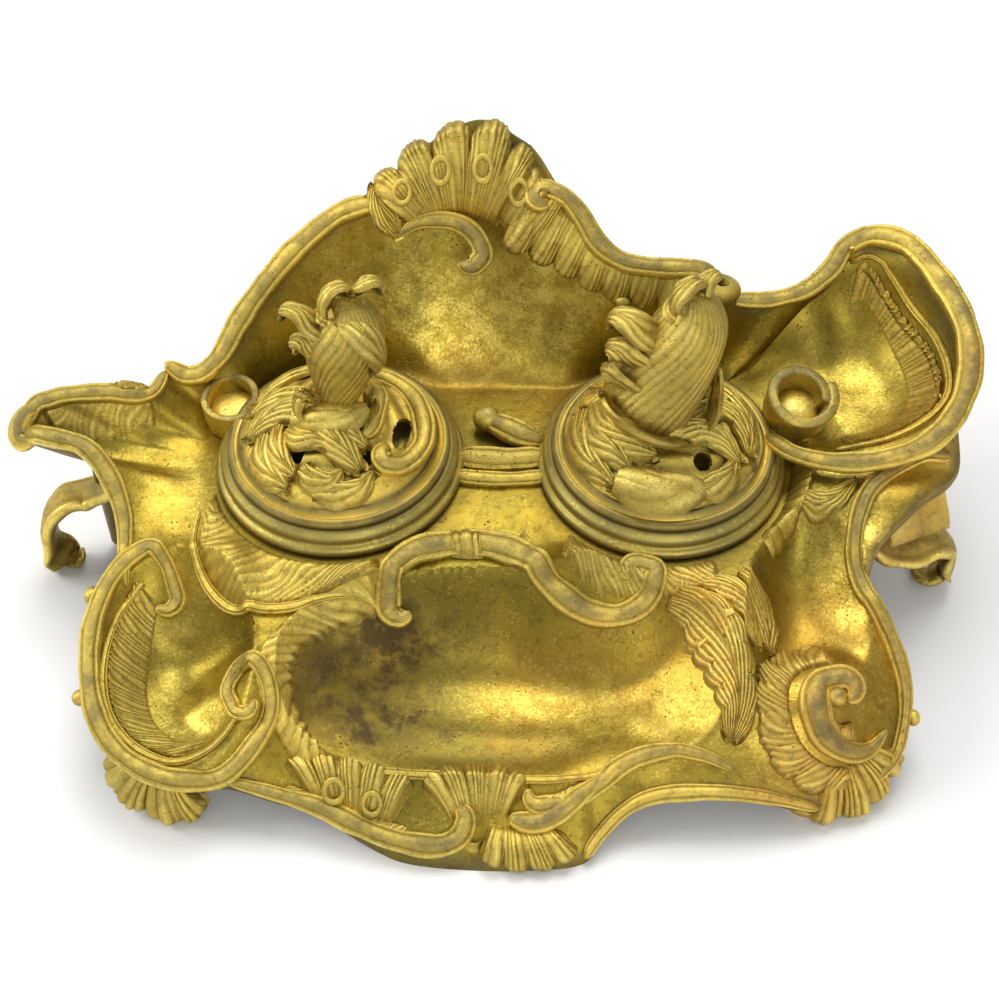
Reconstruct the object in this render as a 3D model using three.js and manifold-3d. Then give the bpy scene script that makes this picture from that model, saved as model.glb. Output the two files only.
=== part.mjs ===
// Double inkstand in gilt brass, millimetres, +Z up. A cast tray of dishes and scrolls stands on feet and carries
// two wells. Each well is a turned collar held by a ring nut, with an ink pot that lifts out and a pierced lid
// with a leaning knop that lifts off. The origin is the middle of the base on the surface the stand rests on,
// +X is the right-hand side and +Y the high back wall.
import * as THREE from "three";
import { mergeVertices } from "three/addons/utils/BufferGeometryUtils.js";
import Module from "manifold-3d";

const wasm = await Module();
wasm.setup();

// Driving dimensions.
const CLEARANCE = 0.3; // gap kept between touching pieces
const SIDES = 32; // facets of every turned piece
const WELL_Y = 22;
const WELLS = { left: -48, right: 52 }; // x of each well's axis
const PLATFORM_Z = 42;
const WALL = 4; // thickness of the cast shell
const HOLE_RADIUS = 33; // the platform's hole for a collar's spigot
const COLLAR_RADIUS = 38.6;
const COLLAR_TOP_Z = 50;
const POT_RADIUS = 29.8;
const POT_DEPTH = 36;
const LID_RADIUS = 34.3;
const KNOP_BASE_Z = 67;
const KNOP_HEIGHT = 45;
const KNOP_LEAN = 9; // how far a knop leans towards +X and +Y
const STUD_RADIUS = 2;
const LIFT_TOP_Z = 140; // the way of a lid and its pot is clear to this height

// Tray planning values.
const MIDDLE = { x: 2, y: 12 }; // where the rings of the tray's surface start
const LAND = { halfWidth: 93, halfDepth: 42 }; // the level land around both wells
const LAND_EDGE = 40.5; // distance from a well's axis that stays level
const LAND_BLEND = 7; // width over which the land runs into the slopes
const RISE = 1.6; // how hollow the slopes from the land to the rim are
const RIM_STEPS = 84;
const RING_SHARES = [0.13, 0.27, 0.39, 0.48, 0.55, 0.62, 0.69, 0.76, 0.83, 0.89, 0.95, 1];
const APRON_SHARE = 0.87; // where the apron hangs below the shell, as a share of the way to the rim
const APRON_TO_WELL = 45; // the apron's least distance from a well's axis
const APRON_FOOT_Z = 3; // the apron ends this far above the surface, between the feet

// The tray's rim, anticlockwise from the middle of the front: x, y and height.
const RIM = [
  [11, -96.5, 4], [-14, -96, 4], [-26, -94, 5], [-38, -89, 8], [-50, -83, 11], [-64, -80, 14], // front frieze
  [-76, -78, 17], [-87, -80, 21], [-98.5, -77.5, 22], [-109, -70.5, 24], [-115, -61, 27], // left dish
  [-118, -48, 30], [-118, -36, 33], [-114.5, -25, 37], [-111.5, -14, 41], [-112, -4, 46],
  [-116, 5, 52], [-124, 13, 59], [-136, 17, 59], [-146, 22, 57], [-142, 28.5, 62], [-133, 30, 63], // left arm
  [-119, 33.5, 62], [-107.5, 36, 59], [-104, 45, 60], [-96, 46, 58.5], [-88, 48, 61], // left cusp
  [-80.5, 58.5, 68], [-72.5, 67, 75], [-61.5, 76, 84], [-49, 82.5, 91], [-36, 86, 98], // back wall
  [-19, 95, 111], [-4, 97, 117], [8, 92, 112], [19, 84, 99], [28, 76, 93], [39, 69, 86], [64, 68, 82], // crest
  [74, 67, 76], [87, 70, 68], [98, 72, 70], [110, 79, 75], [118, 84, 80], [129.5, 80.5, 82], // shell dish
  [139, 65.5, 80], [144.5, 49, 77], [144.5, 34.5, 72], [140, 20.5, 64], [141, 11, 51], // right arm
  [127, -1, 46], [115, -13, 43], [111.5, -24, 38], [116, -31.5, 33], [120.5, -39.5, 27],
  [122.5, -48.5, 22], [121, -57, 17], [118, -65, 13], [110, -75, 9], [98, -80, 8], [90, -80, 11], // front right
  [76, -79.5, 15], [60, -79.5, 17], [46, -80.5, 15], [38, -83, 10], [32, -88, 6], [27, -94, 4],
];

// Hollows sunk in the tray: middle, half sizes, turn in degrees, lowest height and how flat the bottom is.
const DISHES = [
  { name: "pen", x: 4, y: -50, halfX: 65, halfY: 24, turn: 0, floor: 11, flat: 2.8 },
  { name: "left", x: -93, y: -45, halfX: 24, halfY: 32, turn: 6, floor: 17, flat: 2.4 },
  { name: "right", x: 93, y: -34, halfX: 19, halfY: 36, turn: -8, floor: 24, flat: 2.2 },
  { name: "shell", x: 114, y: 47, halfX: 31, halfY: 33, turn: 0, floor: 47, flat: 2.2 },
];

// Scroll feet that reach the surface: middle, radius and the height they rise to inside the shell.
const FEET = [
  { x: -5, y: -89, radius: 7, top: 8 },
  { x: -91, y: -73, radius: 6.5, top: 19 },
  { x: 93, y: -73, radius: 6.5, top: 11 },
  { x: -132, y: 17, radius: 8, top: 54 },
  { x: 136, y: 12, radius: 8.5, top: 48 },
  { x: -46, y: 73, radius: 8, top: 40 },
  { x: 48, y: 61, radius: 8, top: 40 },
];

// Rolled scroll ends that stand on the shell: middle, radius, height of the top and thickness.
const VOLUTES = [
  { x: 94, y: 34, radius: 10, top: 64, thick: 26 },
  { x: -73, y: -55, radius: 7, top: 34, thick: 14 },
  { x: 94, y: -57, radius: 7, top: 36, thick: 14 },
  { x: 71, y: 63, radius: 5, top: 86, thick: 22 },
];

const material = (name, color, roughness, metalness) =>
  new THREE.MeshStandardMaterial({ name, color, roughness, metalness });
const GILT = material("gilt", 0xb8902e, 0.36, 1);
const TURNED = material("turned_gilt", 0x9a8a3c, 0.42, 1);
const CHASED = material("chased_gilt", 0xc29a3a, 0.5, 1);
const PLAIN = material("plain_brass", 0xb59a55, 0.4, 1);
const GLAZED = material("glazed_pot", 0xf1efe6, 0.15, 0);

// ---- Solids ----

// A closed geometry as a manifold-3d solid.
function solid(geometry) {
  const bare = new THREE.BufferGeometry().setAttribute("position", geometry.getAttribute("position"));
  if (geometry.index) bare.setIndex(geometry.index);
  const merged = mergeVertices(bare, 1e-4);
  const vertProperties = new Float32Array(merged.attributes.position.array);
  const triVerts = new Uint32Array(merged.index.array);
  return new wasm.Manifold(new wasm.Mesh({ numProp: 3, vertProperties, triVerts }));
}

// A manifold-3d solid as a geometry with flat faces.
function geometryOf(body) {
  const mesh = body.getMesh();
  const geometry = new THREE.BufferGeometry();
  geometry.setAttribute("position", new THREE.BufferAttribute(mesh.vertProperties, 3));
  geometry.setIndex(new THREE.BufferAttribute(mesh.triVerts, 1));
  const flat = geometry.toNonIndexed();
  flat.computeVertexNormals();
  return flat;
}

// A body turned about +Z from a profile of [radius, height] pairs that runs anticlockwise with the radius to the
// right and the height up; a profile that doesn't touch the axis closes on itself.
function turned(profile, sides = SIDES) {
  const points = profile.map(([radius, height]) => new THREE.Vector2(radius, height));
  const onAxis = profile[0][0] === 0 && profile.at(-1)[0] === 0;
  if (!onAxis) points.push(points[0].clone());
  return new THREE.LatheGeometry(points, sides).rotateX(Math.PI / 2);
}

// A closed skin over rings of equal length, from the first ring to the last, with a fan at each end.
function skinned(rings, startTip, endTip) {
  const count = rings[0].length;
  const positions = [startTip, ...rings.flat(), endTip].flat();
  const last = rings.length * count + 1;
  const index = [];
  for (let k = 0; k < count; k++) {
    const next = (k + 1) % count;
    index.push(0, 1 + next, 1 + k);
    for (let ring = 0; ring + 1 < rings.length; ring++) {
      const low = 1 + ring * count;
      const high = low + count;
      index.push(low + k, low + next, high + next);
      index.push(low + k, high + next, high + k);
    }
    const top = 1 + (rings.length - 1) * count;
    index.push(last, top + k, top + next);
  }
  const geometry = new THREE.BufferGeometry();
  geometry.setAttribute("position", new THREE.Float32BufferAttribute(positions, 3));
  geometry.setIndex(index);
  return geometry;
}

// ---- Tray ----

const smooth = (low, high, value) => THREE.MathUtils.smoothstep(value, low, high);

// Points round the rim, each with its share of land on the way out from the middle.
function rimPoints() {
  const knots = RIM.map(([x, y, z]) => new THREE.Vector3(x, y, z));
  const curve = new THREE.CatmullRomCurve3(knots, true, "centripetal");
  return Array.from({ length: RIM_STEPS }, (_, step) => {
    const point = curve.getPointAt(step / RIM_STEPS);
    const dx = point.x - MIDDLE.x;
    const dy = point.y - MIDDLE.y;
    const land = (Math.abs(dx / LAND.halfWidth) ** 4 + Math.abs(dy / LAND.halfDepth) ** 4) ** -0.25;
    const rim = { x: point.x, y: point.y, z: point.z, land: Math.min(land, 0.8), apron: APRON_SHARE };
    while (rim.apron < 0.96 && distanceToWell(...planPoint(rim, rim.apron)) < APRON_TO_WELL) rim.apron += 0.01;
    return rim;
  });
}

// The plan position at a share of the way from the middle to a rim point.
const planPoint = (rim, share) => [
  MIDDLE.x + share * (rim.x - MIDDLE.x),
  MIDDLE.y + share * (rim.y - MIDDLE.y),
];

const distanceToWell = (x, y) =>
  Math.min(...Object.values(WELLS).map((wellX) => Math.hypot(x - wellX, y - WELL_Y)));

// How far (x, y) lies from the middle of a dish: 0 at its middle and 1 on its edge.
function dishReach(dish, x, y) {
  const turn = THREE.MathUtils.degToRad(dish.turn);
  const along = (x - dish.x) * Math.cos(turn) + (y - dish.y) * Math.sin(turn);
  const across = (y - dish.y) * Math.cos(turn) - (x - dish.x) * Math.sin(turn);
  return Math.hypot(along / dish.halfX, across / dish.halfY);
}

// A point of the tray's upper surface, at a share of the way from the middle to a rim point.
function surfacePoint(rim, share) {
  const [x, y] = planPoint(rim, share);
  const climb = Math.max(0, (share - rim.land) / (1 - rim.land));
  let z = PLATFORM_Z + (rim.z - PLATFORM_Z) * climb ** RISE;
  for (const dish of DISHES) {
    const reach = dishReach(dish, x, y);
    if (reach < 1 && z > dish.floor) z = dish.floor + (z - dish.floor) * reach ** dish.flat;
  }
  const nearWell = 1 - smooth(LAND_EDGE, LAND_EDGE + LAND_BLEND, distanceToWell(x, y));
  const level = nearWell * (1 - smooth(0.84, 0.96, share));
  return [x, y, THREE.MathUtils.lerp(z, PLATFORM_Z, level)];
}

// A ring of the tray's surface at a share that may change round the rim, lowered but never below a height.
function surfaceRing(rims, shareOf, depth = 0, lowest = 0) {
  return rims.map((rim) => {
    const [x, y, z] = surfacePoint(rim, shareOf(rim));
    return [x, y, Math.max(z - depth, lowest)];
  });
}

// The cast shell: the surface, the rim's edge, the underside, the apron down to its foot, and the hollow below.
function shell(rims) {
  const outside = (rim) => rim.apron;
  const inside = (rim) => rim.apron - WALL / Math.hypot(rim.x - MIDDLE.x, rim.y - MIDDLE.y);
  const apronFoot = (shareOf) => rims.map((rim) => [...planPoint(rim, shareOf(rim)), APRON_FOOT_Z]);
  const underShares = RING_SHARES.filter((share) => share < APRON_SHARE - 0.05).reverse();
  const rings = [
    ...RING_SHARES.map((share) => surfaceRing(rims, () => share)),
    surfaceRing(rims, () => 1, WALL),
    surfaceRing(rims, (rim) => (1 + rim.apron) / 2, WALL, 1),
    surfaceRing(rims, outside, WALL, APRON_FOOT_Z + 0.5),
    apronFoot(outside),
    apronFoot(inside),
    surfaceRing(rims, inside, WALL, APRON_FOOT_Z + 0.5),
    ...underShares.map((share) => surfaceRing(rims, () => share, WALL)),
  ];
  const topTip = [MIDDLE.x, MIDDLE.y, PLATFORM_Z];
  const underTip = [MIDDLE.x, MIDDLE.y, PLATFORM_Z - WALL];
  return skinned(rings, topTip, underTip);
}

// A round post with a soft waist, from the surface up into the shell.
function foot({ x, y, radius, top }) {
  const profile = [[0, 0], [radius, 0], [radius, 3], [radius * 0.72, 7], [radius * 0.72, top], [0, top]];
  return turned(profile, 16).translate(x, y, 0);
}

// A scroll end, thicker at its top edge.
function volute({ x, y, radius, top, thick }) {
  const low = top - thick;
  const profile = [[0, low], [radius * 0.7, low], [radius, top - 3], [radius, top - 1], [radius * 0.7, top], [0, top]];
  return turned(profile, 16).translate(x, y, 0);
}

// The turned seat of a well: a level disc of the shell's thickness, and the space cleared round it for the collar
// above, its nut below and its spigot through the middle.
function wellSeat(wellX) {
  const under = PLATFORM_Z - WALL;
  const disc = [[0, under], [COLLAR_RADIUS + 2.5, under], [COLLAR_RADIUS + 2.5, PLATFORM_Z], [0, PLATFORM_Z]];
  const cleared = [
    [0, 20], [COLLAR_RADIUS, 20], [COLLAR_RADIUS, under], [HOLE_RADIUS, under], [HOLE_RADIUS, PLATFORM_Z],
    [COLLAR_RADIUS + 0.6, PLATFORM_Z], [COLLAR_RADIUS + 0.6, LIFT_TOP_Z], [0, LIFT_TOP_Z],
  ];
  return [disc, cleared].map((profile) => solid(turned(profile).translate(wellX, WELL_Y, 0)));
}

function tray() {
  let body = solid(shell(rimPoints()));
  for (const part of [...FEET.map(foot), ...VOLUTES.map(volute)]) body = body.add(solid(part));
  for (const wellX of Object.values(WELLS)) {
    const [disc, cleared] = wellSeat(wellX);
    body = body.add(disc).subtract(cleared);
  }
  return geometryOf(body);
}

// ---- One well, about its own axis ----

// A two-step moulded ring with a recess for the pot's flange and a spigot through the platform's hole.
function collar() {
  const seat = PLATFORM_Z + CLEARANCE;
  return turned([
    [30.3, 30],
    [HOLE_RADIUS - 0.5, 30],
    [HOLE_RADIUS - 0.5, seat],
    [COLLAR_RADIUS, seat],
    [COLLAR_RADIUS, seat + 2.6],
    [36.6, seat + 4.2],
    [36.2, COLLAR_TOP_Z - 1],
    [35.4, COLLAR_TOP_Z],
    [32.7, COLLAR_TOP_Z],
    [32.7, 47.7],
    [30.3, 47.7],
  ]);
}

// The ring nut that clamps the collar from below.
function collarNut() {
  const top = PLATFORM_Z - WALL - CLEARANCE;
  return turned([[HOLE_RADIUS - 0.2, top - 6], [37.5, top - 6], [37.5, top], [HOLE_RADIUS - 0.2, top]]);
}

// The ink pot, hung by its flange.
function inkPot() {
  const flangeTop = COLLAR_TOP_Z;
  const bottom = flangeTop - POT_DEPTH;
  const wall = 2.8;
  return turned([
    [0, bottom],
    [POT_RADIUS - 3, bottom],
    [POT_RADIUS, bottom + 4],
    [POT_RADIUS, 48],
    [32.3, 48],
    [32.3, flangeTop],
    [POT_RADIUS - wall, flangeTop],
    [POT_RADIUS - wall, bottom + 5],
    [POT_RADIUS - wall - 2, bottom + 3],
    [0, bottom + 3],
  ]);
}

// The lid's plate: a moulded rim, a gently domed top and the locating spigot below.
function lidPlate() {
  const low = COLLAR_TOP_Z + CLEARANCE;
  return turned([
    [STUD_RADIUS + CLEARANCE, low],
    [23, low],
    [23.4, low - 3],
    [26, low - 3],
    [26.4, low],
    [LID_RADIUS, low],
    [LID_RADIUS, low + 1.6],
    [33, low + 3],
    [30.8, low + 3],
    [30.4, low + 2.2],
    [STUD_RADIUS + CLEARANCE, low + 2.2],
  ]);
}

// The pierced dome that lies on the plate: a thin turned dome with openings cut through it.
function lidOpenwork(firstOpening) {
  const low = COLLAR_TOP_Z + CLEARANCE + 2.2 + CLEARANCE;
  const top = KNOP_BASE_Z - CLEARANCE;
  const dome = turned([
    [26.5, low],
    [30, low],
    [29.6, low + 2.5],
    [24, top - 5.5],
    [14, top - 1.5],
    [8, top],
    [STUD_RADIUS + CLEARANCE, top],
    [STUD_RADIUS + CLEARANCE, top - 3],
    [12, top - 4.2],
    [21, top - 8],
  ]);
  let body = solid(dome);
  for (let opening = 0; opening < 5; opening++) {
    const angle = THREE.MathUtils.degToRad(firstOpening + opening * 72);
    const cutter = new THREE.CylinderGeometry(4.6, 4.6, 30, 10).rotateX(Math.PI / 2);
    cutter.translate(17.5 * Math.cos(angle), 17.5 * Math.sin(angle), low + 10);
    body = body.subtract(solid(cutter));
  }
  return geometryOf(body);
}

// A leaning bud: a stalk, a swollen body and a curled tip, bored from below for the stud.
function knop() {
  const stations = [
    { height: 0, radius: 7.5, shift: 0 },
    { height: 0.08, radius: 8.5, shift: 0 },
    { height: 0.2, radius: 8, shift: 0.1 },
    { height: 0.36, radius: 12, shift: 0.35 },
    { height: 0.52, radius: 13.5, shift: 0.7 },
    { height: 0.66, radius: 11, shift: 0.95 },
    { height: 0.78, radius: 8, shift: 0.9 },
    { height: 0.9, radius: 7, shift: 0.75 },
    { height: 1, radius: 3.5, shift: 0.6 },
  ];
  const count = 16;
  const rings = stations.map(({ height, radius, shift }) =>
    Array.from({ length: count }, (_, k) => {
      const angle = (k / count) * 2 * Math.PI;
      const x = KNOP_LEAN * shift + radius * Math.cos(angle);
      const y = KNOP_LEAN * shift + radius * Math.sin(angle);
      return [x, y, KNOP_BASE_Z + KNOP_HEIGHT * height];
    }),
  );
  const tip = stations.at(-1);
  const start = [0, 0, KNOP_BASE_Z];
  const end = [KNOP_LEAN * tip.shift, KNOP_LEAN * tip.shift, KNOP_BASE_Z + KNOP_HEIGHT];
  const bud = solid(skinned(rings, start, end));
  const bore = [[0, KNOP_BASE_Z - 2], [STUD_RADIUS + CLEARANCE, KNOP_BASE_Z - 2],
    [STUD_RADIUS + CLEARANCE, KNOP_BASE_Z + 9], [0, KNOP_BASE_Z + 9]];
  return geometryOf(bud.subtract(solid(turned(bore, 12))));
}

const WASHER_TOP_Z = COLLAR_TOP_Z;
const NUT_TOP_Z = WASHER_TOP_Z - 1.2 - CLEARANCE;

const knopStud = () => turned([[0, 45], [STUD_RADIUS, 45], [STUD_RADIUS, KNOP_BASE_Z + 8], [0, KNOP_BASE_Z + 8]], 12);

const knopWasher = () => {
  const bore = STUD_RADIUS + CLEARANCE;
  return turned([[bore, WASHER_TOP_Z - 1.2], [6, WASHER_TOP_Z - 1.2], [6, WASHER_TOP_Z], [bore, WASHER_TOP_Z]], 12);
};

// A hexagon nut: the bore is a hexagon too, so that its wall has an even thickness.
const knopNut = () => {
  const bore = STUD_RADIUS / Math.cos(Math.PI / 6) + CLEARANCE;
  return turned([[bore, NUT_TOP_Z - 2.6], [4.6, NUT_TOP_Z - 2.6], [4.6, NUT_TOP_Z], [bore, NUT_TOP_Z]], 6);
};

// ---- Assembly ----

function piece(name, geometry, finish) {
  const mesh = new THREE.Mesh(geometry, finish);
  mesh.name = name;
  return mesh;
}

function well(side, firstOpening) {
  const group = new THREE.Group();
  group.position.set(WELLS[side], WELL_Y, 0);
  group.add(
    piece(`${side}_collar`, collar(), TURNED),
    piece(`${side}_collar_nut`, collarNut(), PLAIN),
    piece(`${side}_ink_pot`, inkPot(), GLAZED),
    piece(`${side}_lid_plate`, lidPlate(), TURNED),
    piece(`${side}_lid_openwork`, lidOpenwork(firstOpening), CHASED),
    piece(`${side}_knop`, knop(), CHASED),
    piece(`${side}_knop_stud`, knopStud(), PLAIN),
    piece(`${side}_knop_washer`, knopWasher(), PLAIN),
    piece(`${side}_knop_nut`, knopNut(), PLAIN),
  );
  return group;
}

const inkstand = new THREE.Group();
inkstand.add(piece("tray", tray(), GILT), well("left", 20), well("right", 54));

export default inkstand;
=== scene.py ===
"""A gilt brass inkstand in the rococo style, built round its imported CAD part."""

import logging
import math
from dataclasses import dataclass, field
from enum import Enum
from typing import Callable, Sequence

import bpy
import numpy as np
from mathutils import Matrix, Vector

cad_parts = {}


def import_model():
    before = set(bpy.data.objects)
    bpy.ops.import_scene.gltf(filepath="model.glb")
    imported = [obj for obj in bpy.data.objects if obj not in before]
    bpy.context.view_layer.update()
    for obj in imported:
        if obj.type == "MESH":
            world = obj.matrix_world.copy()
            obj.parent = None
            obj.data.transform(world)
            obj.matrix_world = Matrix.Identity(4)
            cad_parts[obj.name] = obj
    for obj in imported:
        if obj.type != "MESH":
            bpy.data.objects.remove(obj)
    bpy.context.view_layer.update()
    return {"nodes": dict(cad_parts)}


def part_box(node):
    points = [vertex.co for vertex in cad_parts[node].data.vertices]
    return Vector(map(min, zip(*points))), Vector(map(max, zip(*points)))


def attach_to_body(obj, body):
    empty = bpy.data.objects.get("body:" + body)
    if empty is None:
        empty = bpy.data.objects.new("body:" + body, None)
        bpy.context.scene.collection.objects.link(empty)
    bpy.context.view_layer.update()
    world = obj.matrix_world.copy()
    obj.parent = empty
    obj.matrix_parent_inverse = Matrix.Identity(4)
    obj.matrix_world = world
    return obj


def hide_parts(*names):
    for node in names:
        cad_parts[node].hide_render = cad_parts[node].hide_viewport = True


LOG = logging.getLogger("inkstand")
MM = 0.001
UP = np.array([0.0, -0.35, 0.94])  # the side of a relief that faces away from the casting

Point2 = tuple[float, float]
Path3 = Sequence[Sequence[float]]
Color = tuple[float, float, float]


# ---- Shader graphs ----

BUMP_STRENGTH = 0.6


class Shade:
    """A shader socket whose arithmetic adds Math nodes."""

    def __init__(self, graph: "Graph", socket: bpy.types.NodeSocket) -> None:
        """Keeps the socket and the graph it belongs to."""
        self.graph, self.socket = graph, socket

    def math(self, operation: str, *others: "Shade | float", clamp: bool = False) -> "Shade":
        """Adds a Math node.

        Args:
            operation: The Math node's operation.
            others: The values after this one.
            clamp: Whether the result is kept from 0 to 1.

        Returns:
            The node's result.
        """
        values = dict(enumerate((self, *others)))
        return self.graph.node("ShaderNodeMath", values, operation=operation, use_clamp=clamp)

    def __add__(self, other: "Shade | float") -> "Shade":
        """The sum."""
        return self.math("ADD", other)

    def __sub__(self, other: "Shade | float") -> "Shade":
        """The difference."""
        return self.math("SUBTRACT", other)

    def __rsub__(self, other: float) -> "Shade":
        """The difference from a number."""
        return (self * -1.0) + other

    def __mul__(self, other: "Shade | float") -> "Shade":
        """The product."""
        return self.math("MULTIPLY", other)

    def __pow__(self, other: "Shade | float") -> "Shade":
        """This raised to a power."""
        return self.math("POWER", other)

    __radd__ = __add__

    def clamp(self) -> "Shade":
        """The value kept from 0 to 1."""
        return self.math("ADD", 0.0, clamp=True)

    def step(self, low: float, high: float) -> "Shade":
        """A smooth step from 0 at low to 1 at high; low may be the larger one."""
        values = {"Value": self, "From Min": low, "From Max": high, "To Min": 0.0, "To Max": 1.0}
        return self.graph.node("ShaderNodeMapRange", values, interpolation_type="SMOOTHSTEP")


class Graph:
    """The node graph of one material."""

    def __init__(self, name: str) -> None:
        """Starts an empty graph on a new material."""
        self.material = bpy.data.materials.new(name)
        self.material.use_nodes = True
        self.tree = self.material.node_tree
        self.tree.nodes.clear()
        self.place = self.node("ShaderNodeTexCoord", {}, output="Object")

    def node(self, kind: str, values: dict, output: str | int = 0, **settings) -> Shade:
        """Adds a node.

        Args:
            kind: The node's type.
            values: Each input's name or number with a number, a tuple or a Shade to link.
            output: The output that is returned.
            settings: The node's own properties.

        Returns:
            The output as a Shade.
        """
        node = self.tree.nodes.new(kind)
        for name, value in settings.items():
            setattr(node, name, value)
        for name, value in values.items():
            if isinstance(value, Shade):
                self.tree.links.new(value.socket, node.inputs[name])
            else:
                node.inputs[name].default_value = value
        return Shade(self, node.outputs[output])

    def mix(self, share: Shade | float, low: Shade | Color, high: Shade | Color) -> Shade:
        """The colour that runs from low to high with the share."""
        low, high = (c if isinstance(c, Shade) else (*c, 1.0) for c in (low, high))
        return self.node("ShaderNodeMix", {0: share, 6: low, 7: high}, output=2, data_type="RGBA")

    def noise(self, scale: float, detail: float, roughness: float = 0.55) -> Shade:
        """A noise value from about 0.3 to 0.7, in object coordinates."""
        values = {"Vector": self.place, "Scale": scale, "Detail": detail, "Roughness": roughness}
        return self.node("ShaderNodeTexNoise", values)

    def cells(self, scale: float) -> Shade:
        """The distance to the middle of the nearest cell, in object coordinates."""
        return self.node("ShaderNodeTexVoronoi", {"Vector": self.place, "Scale": scale})

    def field(self, name: str) -> Shade:
        """A value that the mesh carries on its points."""
        return self.node("ShaderNodeAttribute", {}, output="Fac", attribute_name=name)

    def finish(self, color: Shade, height: Shade, depth: float,
               **values: Shade | float) -> bpy.types.Material:
        """Ends the graph in a Principled surface.

        Args:
            color: The base colour.
            height: The relief that the bump follows.
            depth: The bump's depth in metres.
            values: Other inputs of the surface, with underscores for spaces.

        Returns:
            The material.
        """
        bump = self.node("ShaderNodeBump", {"Height": height, "Distance": depth, "Strength": BUMP_STRENGTH})
        inputs = {name.replace("_", " "): value for name, value in values.items()}
        surface = self.node("ShaderNodeBsdfPrincipled", {"Base Color": color, "Normal": bump, **inputs})
        output = self.tree.nodes.new("ShaderNodeOutputMaterial")
        self.tree.links.new(surface.socket, output.inputs["Surface"])
        return self.material


@dataclass(frozen=True)
class GiltFinish:
    """Cast and gilt brass with a worn patina.

    The mesh carries relief (1 on high ground, 0 in hollows and other shaded places, which get painted shade),
    worn, burnish (polished smooth, with a painted highlight) and stain, each from 0 to 1.
    """

    name: str
    slot: str
    gold: Color = (0.39, 0.275, 0.034)
    olive: Color = (0.25, 0.195, 0.03)
    warm: Color = (0.40, 0.22, 0.035)
    # The colour of the painted highlight: glints and polished patches.
    painted_highlight: Color = (0.78, 0.59, 0.12)
    worn: Color = (0.15, 0.122, 0.055)
    # Dark flecks at random, and the painted shade in hollows.
    fleck_and_shade: Color = (0.10, 0.068, 0.014)
    stain: Color = (0.07, 0.042, 0.012)
    roughness: float = 0.37
    grain: float = 0.0005
    metal: float = 1.0

    def build(self) -> bpy.types.Material:
        """Builds the finish.

        Returns:
            The material.
        """
        g = Graph(self.name)
        patina = g.noise(26.0, 5.0)
        mottle = g.noise(170.0, 8.0, 0.62)
        speck = g.noise(1100.0, 3.0, 0.6)
        pits = g.cells(620.0).step(0.22, 0.05) * g.noise(90.0, 2.0).step(0.5, 0.66)
        relief, worn = g.field("relief"), g.field("worn")
        burnish_and_highlight, stain = g.field("burnish_and_highlight"), g.field("stain")
        patchy = (mottle * 0.6 + speck * 0.4).step(0.4, 0.6)
        # The polished share, which smooths the gilding and paints a highlight on it.
        polished_highlight = (burnish_and_highlight * (0.1 + patchy * 0.8)).clamp()
        wear = g.noise(60.0, 3.0).step(0.34, 0.62)
        rubbed = (worn * (0.15 + wear * 0.5 + mottle.step(0.36, 0.6) * 0.55)).clamp()
        # Painted shade: where relief is low, the colour darkens.
        hollow_shade = ((1.0 - relief) * (0.55 + mottle * 0.8)).clamp()
        stained = (stain * (0.5 + (patina * 0.5 + mottle * 0.5).step(0.42, 0.58) * 0.8)).clamp()
        color = g.mix(patina.step(0.38, 0.62), self.olive, self.gold)
        color = g.mix(g.noise(14.0, 3.0).step(0.52, 0.7) * 0.7, color, self.warm)
        color = g.mix(g.noise(420.0, 4.0).step(0.48, 0.34) * 0.35, color, self.fleck_and_shade)
        # Painted glints from specks, then a painted highlight on the polished places.
        color = g.mix(speck.step(0.52, 0.7) * 0.45 * mottle.step(0.4, 0.6), color, self.painted_highlight)
        color = g.mix(polished_highlight * 0.9, color, self.painted_highlight)
        # Painted shade in the hollows and wherever relief is low.
        color = g.mix(hollow_shade * 0.85, color, self.fleck_and_shade)
        color = g.mix(rubbed * 0.85, color, self.worn)
        color = g.mix((stained + pits * 0.5).clamp() * 0.92, color, self.stain)
        rough = self.roughness + mottle * 0.16 - polished_highlight * 0.16 + rubbed * 0.12 + stained * 0.14
        height = mottle * 0.5 + speck * 0.3 - pits * 0.8 - stained * speck * 0.4
        metallic = self.metal - stained * 0.3 - rubbed * 0.1
        return g.finish(color, height, self.grain, Roughness=rough.clamp(), Metallic=metallic)


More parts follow.
